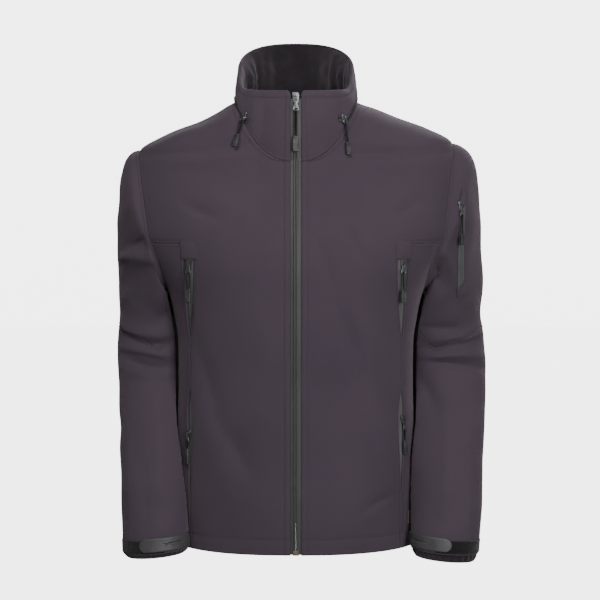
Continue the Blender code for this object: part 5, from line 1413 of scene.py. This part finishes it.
def plate(name, outline, holes, thickness, bevel, place, turn=None):
    # a plate in its own XZ plane with rounded edges, placed in the row's frame
    curve = bpy.data.curves.new(name, "CURVE")
    curve.dimensions = "2D"
    curve.fill_mode = "BOTH"
    curve.extrude = thickness / 2 - bevel
    curve.bevel_depth = bevel
    curve.bevel_resolution = 2
    curve.offset = -bevel
    for ring in [outline] + holes:
        spline = curve.splines.new("POLY")
        spline.points.add(len(ring) - 1)
        spline.use_cyclic_u = True
        for point, (x, z) in zip(spline.points, ring):
            point.co = (x, z, 0, 1)
    carrier = bpy.data.objects.new(name, curve)
    bpy.context.scene.collection.objects.link(carrier)
    mesh = bpy.data.meshes.new_from_object(carrier.evaluated_get(bpy.context.evaluated_depsgraph_get()))
    bpy.data.objects.remove(carrier, do_unlink=True)
    mesh.transform(Matrix.Rotation(math.pi / 2, 4, "X"))
    if turn is not None:
        mesh.transform(turn)
    mesh.transform(place)
    return welded(mesh, name)


def welded(mesh, name):
    shape = bmesh.new()
    shape.from_mesh(mesh)
    bmesh.ops.remove_doubles(shape, verts=shape.verts, dist=0.000005)
    bmesh.ops.recalc_face_normals(shape, faces=shape.faces)
    shape.to_mesh(mesh)
    shape.free()
    mesh.name = name
    mesh.shade_smooth()
    mesh.set_sharp_from_angle(angle=math.radians(42))
    return mesh


def joined(name, meshes):
    shape = bmesh.new()
    for mesh in meshes:
        shape.from_mesh(mesh)
    whole = bpy.data.meshes.new(name)
    shape.to_mesh(whole)
    shape.free()
    whole.shade_smooth()
    whole.set_sharp_from_angle(angle=math.radians(42))
    return whole


def rounded(points, steps=5, share=0.35):
    # a closed outline with each corner replaced by a short curve
    result = []
    count = len(points)
    for i in range(count):
        before, here, after = (np.array(points[(i + k) % count]) for k in (-1, 0, 1))
        a, b = here + (before - here) * share, here + (after - here) * share
        for t in np.linspace(0, 1, steps):
            result.append(tuple((1 - t) ** 2 * a + 2 * t * (1 - t) * here + t * t * b))
    return result


def oval(halfX, halfZ, middleZ, count=20):
    return [(halfX * math.cos(a), middleZ + halfZ * math.sin(a)) for a in np.linspace(0, 2 * math.pi, count,
            endpoint=False)]


def placed(origin, xAxis, yAxis, zAxis):
    turn = Matrix((xAxis, yAxis, zAxis)).transposed().to_4x4()
    return Matrix.Translation(Vector(origin)) @ turn


def pullFrames(name):
    # the slider's and the hanging pull's own axes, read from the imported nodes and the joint
    joint = next(j for j in frame["joints"] if j["child"] == f"{name}_pull")
    pivot = np.array(joint["pos_m"])
    across = -np.array(joint["axis"], float)
    across /= np.linalg.norm(across)
    gripPoints = np.array([v.co for v in frame["nodes"][f"{name}_grip"].data.vertices])
    down = (gripPoints.min(axis=0) + gripPoints.max(axis=0)) / 2 - pivot
    down -= across * (down @ across)
    down /= np.linalg.norm(down)
    body = np.array([v.co for v in frame["nodes"][f"{name}_slider"].data.vertices]) - pivot
    best = None
    flatUp = np.cross(across, (0, 1, 0))
    flatUp = np.cross(np.cross(across, (0, 0, 1.0)), across)
    flatUp /= np.linalg.norm(flatUp)
    side = np.cross(flatUp, across)
    for angle in np.radians(np.arange(-60, 60, 0.5)):
        up = flatUp * math.cos(angle) + side * math.sin(angle)
        deep = np.cross(up, across)
        size = np.ptp(body @ up) * np.ptp(body @ deep)
        if best is None or size < best[0]:
            best = (size, up, deep)
    _, up, deep = best
    if up[2] < 0:
        up = -up
    deep = np.cross(up, across)
    return pivot, placed(pivot, across, deep, up), placed(pivot, across, np.cross(-down, across), -down)


def sliderMesh(name, scale, place):
    w, length, rise = (pullLook[key] * scale for key in ("sliderWidth", "sliderLength", "rise"))
    w, length = w / 2, length / 2
    near, thick = pullLook["aboveBody"], pullLook["thickness"]
    top = [(-w * 0.98, rise + length * 0.92), (-w * 0.35, rise + length), (w * 0.35, rise + length),
           (w * 0.98, rise + length * 0.92),
           (w, rise + length * 0.25), (w * 0.80, rise - length * 0.45), (w * 0.78, rise - length), (-w * 0.78,
                   rise - length),
           (-w * 0.80, rise - length * 0.45), (-w, rise + length * 0.25)]
    shift = Matrix.Translation((0, near + 0.00045, 0))
    upper = plate(f"{name}.top", rounded(top), [], 0.0009, 0.0003, place, shift)
    lower = plate(f"{name}.base", rounded(top), [], 0.0008, 0.0003, place,
                  Matrix.Translation((0, near + thick - 0.0004, 0)))
    wedge = [(-0.0014 * scale, rise + length * 0.95), (0.0014 * scale, rise + length * 0.95),
             (0.0005 * scale, rise - length * 0.2),
             (-0.0005 * scale, rise - length * 0.2)]
    middle = plate(f"{name}.post", rounded(wedge), [], 0.0012, 0.0001, place,
                   Matrix.Translation((0, near + thick / 2, 0)))
    archPlate = bridgeMesh(f"{name}.bridge", scale, place)
    return joined(name, [upper, lower, middle, archPlate])


def bridgeMesh(name, scale, place):
    # the arch that the tab hangs in, a flat bar bent over the slider's back
    near = pullLook["aboveBody"]
    route = []
    for a in np.linspace(0, math.pi, 15):
        route.append((0, near + 0.0002 - (near + 0.0019) * math.sin(a) ** 0.6, 0.0029 * math.cos(a)))
    shape = bmesh.new()
    half, thin = 0.0010, 0.00045
    rings = []
    for i, point in enumerate(route):
        ahead = Vector(route[min(i + 1, len(route) - 1)]) - Vector(route[max(i - 1, 0)])
        ahead.normalize()
        out = Vector((0, -ahead.z, ahead.y))
        if out.y > 0:
            out = -out
        ring = []
        for x, d in ((-half, -thin), (half, -thin), (half + 0.0001, 0), (half, thin), (-half, thin),
                     (-half - 0.0001, 0)):
            ring.append(shape.verts.new(Vector(point) + Vector((x, 0, 0)) + out * d))
        rings.append(ring)
    for first, second in zip(rings, rings[1:]):
        for k in range(6):
            shape.faces.new((first[k], first[(k + 1) % 6], second[(k + 1) % 6], second[k]))
    shape.faces.new(rings[0])
    shape.faces.new(rings[-1][::-1])
    bmesh.ops.recalc_face_normals(shape, faces=shape.faces)
    mesh = bpy.data.meshes.new(name)
    shape.to_mesh(mesh)
    shape.free()
    mesh.transform(place)
    return mesh


def tabMesh(name, pull, place):
    low, half = -pull.tab, pull.tabWidth / 2
    right = [(half - 0.0014, low), (half, low + 0.0016), (0.88 * half, low + 0.0046), (0.0026, 0.42 * low),
             (0.0031, -0.0012),
             (0.0026, 0.0009)]
    outline = right + [(-x, z) for x, z in reversed(right)]
    eye = oval(0.0013, 0.0017, -0.0026)
    hole = oval(0.52 * half, 0.0013, low + 0.0023)
    return plate(name, rounded(outline, 6, 0.42), [eye, hole], pullLook["tabThick"], 0.00035, place)


def gripMesh(name, pull, place):
    # a moulded grip: rounded bar with a pressed panel on both faces and three low ribs
    top = -pull.tab - pull.cord + 0.0019
    halfX, halfY, halfZ = pull.gripWidth / 2, 0.0022, pull.grip / 2
    shape = bmesh.new()
    bmesh.ops.create_grid(shape, x_segments=16, y_segments=40, size=0.5)
    mesh = bpy.data.meshes.new(name)
    shape.free()
    count, rows = 40, 44
    points, faces = [], []
    for r in range(rows + 1):
        t = -1 + 2 * r / rows
        end = max(0, 1 - max(0, (abs(t) - (1 - 0.0022 / halfZ)) / (0.0022 / halfZ)) ** 2.4) ** 0.5
        waist = 1 - 0.10 * math.exp(-(((t - 0.62) / 0.22) ** 2))
        for k in range(count):
            a = 2 * math.pi * k / count
            c, s = math.cos(a), math.sin(a)
            x = math.copysign(abs(c) ** 0.42, c) * halfX * waist * (0.55 + 0.45 * end)
            y = math.copysign(abs(s) ** 0.42, s) * halfY * (0.35 + 0.65 * end)
            flat = float(ease(0.78, 0.62, abs(x) / halfX)) * float(ease(0.72, 0.62, abs(t)))
            ribs = 0.5 + 0.5 * math.cos(t * 34)
            y -= math.copysign(0.00050 * flat * (1 - 0.55 * ribs), y)
            points.append((x, y, top - halfZ + t * halfZ))
    for r in range(rows):
        for k in range(count):
            a, b = r * count + k, r * count + (k + 1) % count
            faces.append((a, b, b + count, a + count))
    faces.append(tuple(range(count))[::-1])
    faces.append(tuple(range(rows * count, (rows + 1) * count)))
    mesh.from_pydata(points, [], faces)
    mesh.transform(place)
    return welded(mesh, name)


def cordCurve(name, pull, place):
    # out of the grip, through the tab's hole and back down, as one open line
    top = -pull.tab - pull.cord + 0.0026
    through = -pull.tab + 0.0022
    spread, wide = 0.0016, 0.00115
    half = pull.cord * 0.5
    route = [(-0.0008, -0.0004, top), (-0.0009, -0.0006, top + 0.0016), (-0.0011, -0.0010, top + half * 0.5),
             (-0.0012, -0.0015, top + half), (-wide, -spread, through - 0.0062), (-0.0009, -spread - 0.0001,
                     through - 0.0036),
             (-0.0005, -spread + 0.0001, through - 0.0016), (-0.0002, -0.0011, through - 0.0004), (0, 0,
                     through),
             (0.0002, 0.0011, through - 0.0004), (0.0005, spread - 0.0001, through - 0.0016),
             (0.0009, spread, through - 0.0036), (wide, spread - 0.0003, through - 0.0062), (0.0012, 0.0013,
                     top + half),
             (0.0011, 0.0009, top + half * 0.5), (0.0009, 0.0006, top + 0.0016), (0.0008, 0.0004, top)]
    points = [place @ Vector(p) for p in route]
    curve = bpy.data.curves.new(name, "CURVE")
    curve.dimensions = "3D"
    curve.bevel_depth = pullLook["cord"] / 2
    curve.bevel_resolution = 3
    curve.use_fill_caps = True
    spline = curve.splines.new("BEZIER")
    spline.bezier_points.add(len(points) - 1)
    for bezier, point in zip(spline.bezier_points, points):
        bezier.co = point
        bezier.handle_left_type = bezier.handle_right_type = "AUTO"
    spline.resolution_u = 5
    return curve, points


def polyLength(points):
    return sum((b - a).length for a, b in zip(points, points[1:]))


for pull in pulls:
    pivot, sliderPlace, hungPlace = pullFrames(pull.name)
    body = f"{pull.name}_pull"
    addPiece(f"slider.{pull.name}", sliderMesh(f"slider.{pull.name}", pull.scale, sliderPlace), "jacket",
             [f"{pull.name}_slider"], (gunmetal,))
    addPiece(f"tab.{pull.name}", tabMesh(f"tab.{pull.name}", pull, hungPlace), body,
             [f"{pull.name}_tab"], (gunmetal,))
    addPiece(f"grip.{pull.name}", gripMesh(f"grip.{pull.name}", pull, hungPlace), body,
             [f"{pull.name}_grip"], (gripRubber,))
    curve, points = cordCurve(f"cord.{pull.name}", pull, hungPlace)
    curve.materials.append(braid)
    cordPiece = bpy.data.objects.new(f"cord.{pull.name}", curve)
    bpy.context.scene.collection.objects.link(cordPiece)
    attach(cordPiece, body)
    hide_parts(f"{pull.name}_cord")
    length = polyLength(points)
print("pulls made")

frame["nodes"]["zip_end_box"].data.materials.clear()
frame["nodes"]["zip_end_box"].data.materials.append(boxMetal)

cameraLook = {"place": (0.0065, -3.0, -0.09), "down": 4.344, "lens": 111.72}
camera = bpy.data.objects.new("camera", bpy.data.cameras.new("camera"))
bpy.context.scene.collection.objects.link(camera)
camera.location = cameraLook["place"]
camera.rotation_euler = (math.radians(90 - cameraLook["down"]), 0, 0)
camera.data.lens = cameraLook["lens"]
camera.data.sensor_width = 36
bpy.context.scene.camera = camera


def areaLight(name, place, aim, size, power, color=(1, 1, 1)):
    light = bpy.data.objects.new(name, bpy.data.lights.new(name, "AREA"))
    bpy.context.scene.collection.objects.link(light)
    light.data.shape = "RECTANGLE"
    light.data.size, light.data.size_y = size
    light.data.energy, light.data.color = power, color
    light.location = place
    light.rotation_euler = (Vector(aim) - Vector(place)).to_track_quat("-Z", "Y").to_euler()
    return light


areaLight("keyLight", (-0.5, -1.7, 1.75), (0, 0, -0.38), (0.7, 0.7), 36)
areaLight("frontLight", (0.9, -2.5, 0.1), (0, 0, -0.36), (0.9, 1.1), 60)
areaLight("backLight", (0.4, 1.3, 1.3), (0, 0, -0.3), (1.4, 0.8), 26)

world = bpy.data.worlds.new("studio")
bpy.context.scene.world = world
world.use_nodes = True
world.node_tree.nodes["Background"].inputs["Color"].default_value = (1.0, 1.0, 1.0, 1)
world.node_tree.nodes["Background"].inputs["Strength"].default_value = 0.20

stageLook = {"floor": -0.80, "flat": 5.0, "curve": 1.2, "height": 4.5, "sides": 96,
             "curveRows": 16, "glow": 4.5}


def backdrop():
    # a pale round floor that curves up into a wall all round, so it hides nothing from any side
    turns = np.linspace(0, math.pi / 2, stageLook["curveRows"])
    profile = [(stageLook["flat"] + stageLook["curve"] * math.sin(a),
                stageLook["floor"] + stageLook["curve"] * (1 - math.cos(a)))
               for a in turns]
    profile.append((stageLook["flat"] + stageLook["curve"], stageLook["height"]))
    around = np.linspace(0, 2 * math.pi, stageLook["sides"], endpoint=False)
    points = [(r * math.cos(a), r * math.sin(a), z) for r, z in profile for a in around]
    count = stageLook["sides"]
    faces = [tuple(range(count))]
    for row in range(len(profile) - 1):
        for i in range(count):
            j = (i + 1) % count
            faces.append((row * count + i, row * count + j, (row + 1) * count + j, (row + 1) * count + i))
    mesh = bpy.data.meshes.new("backdrop")
    mesh.from_pydata(points, [], faces)
    mesh.shade_smooth()
    piece = bpy.data.objects.new("backdrop", mesh)
    bpy.context.scene.collection.objects.link(piece)
    made, shader, start = newMaterial("paleBackdrop", {"Base Color": (0.93, 0.93, 0.93), "Roughness": 0.9})
    shader.inputs["Emission Color"].default_value = (1, 1, 1, 1)
    shader.inputs["Emission Strength"].default_value = stageLook["glow"]
    mesh.materials.append(made)
    piece.visible_diffuse = False
    piece.visible_glossy = False
    piece.visible_shadow = False


backdrop()
print("camera, lights and backdrop made")
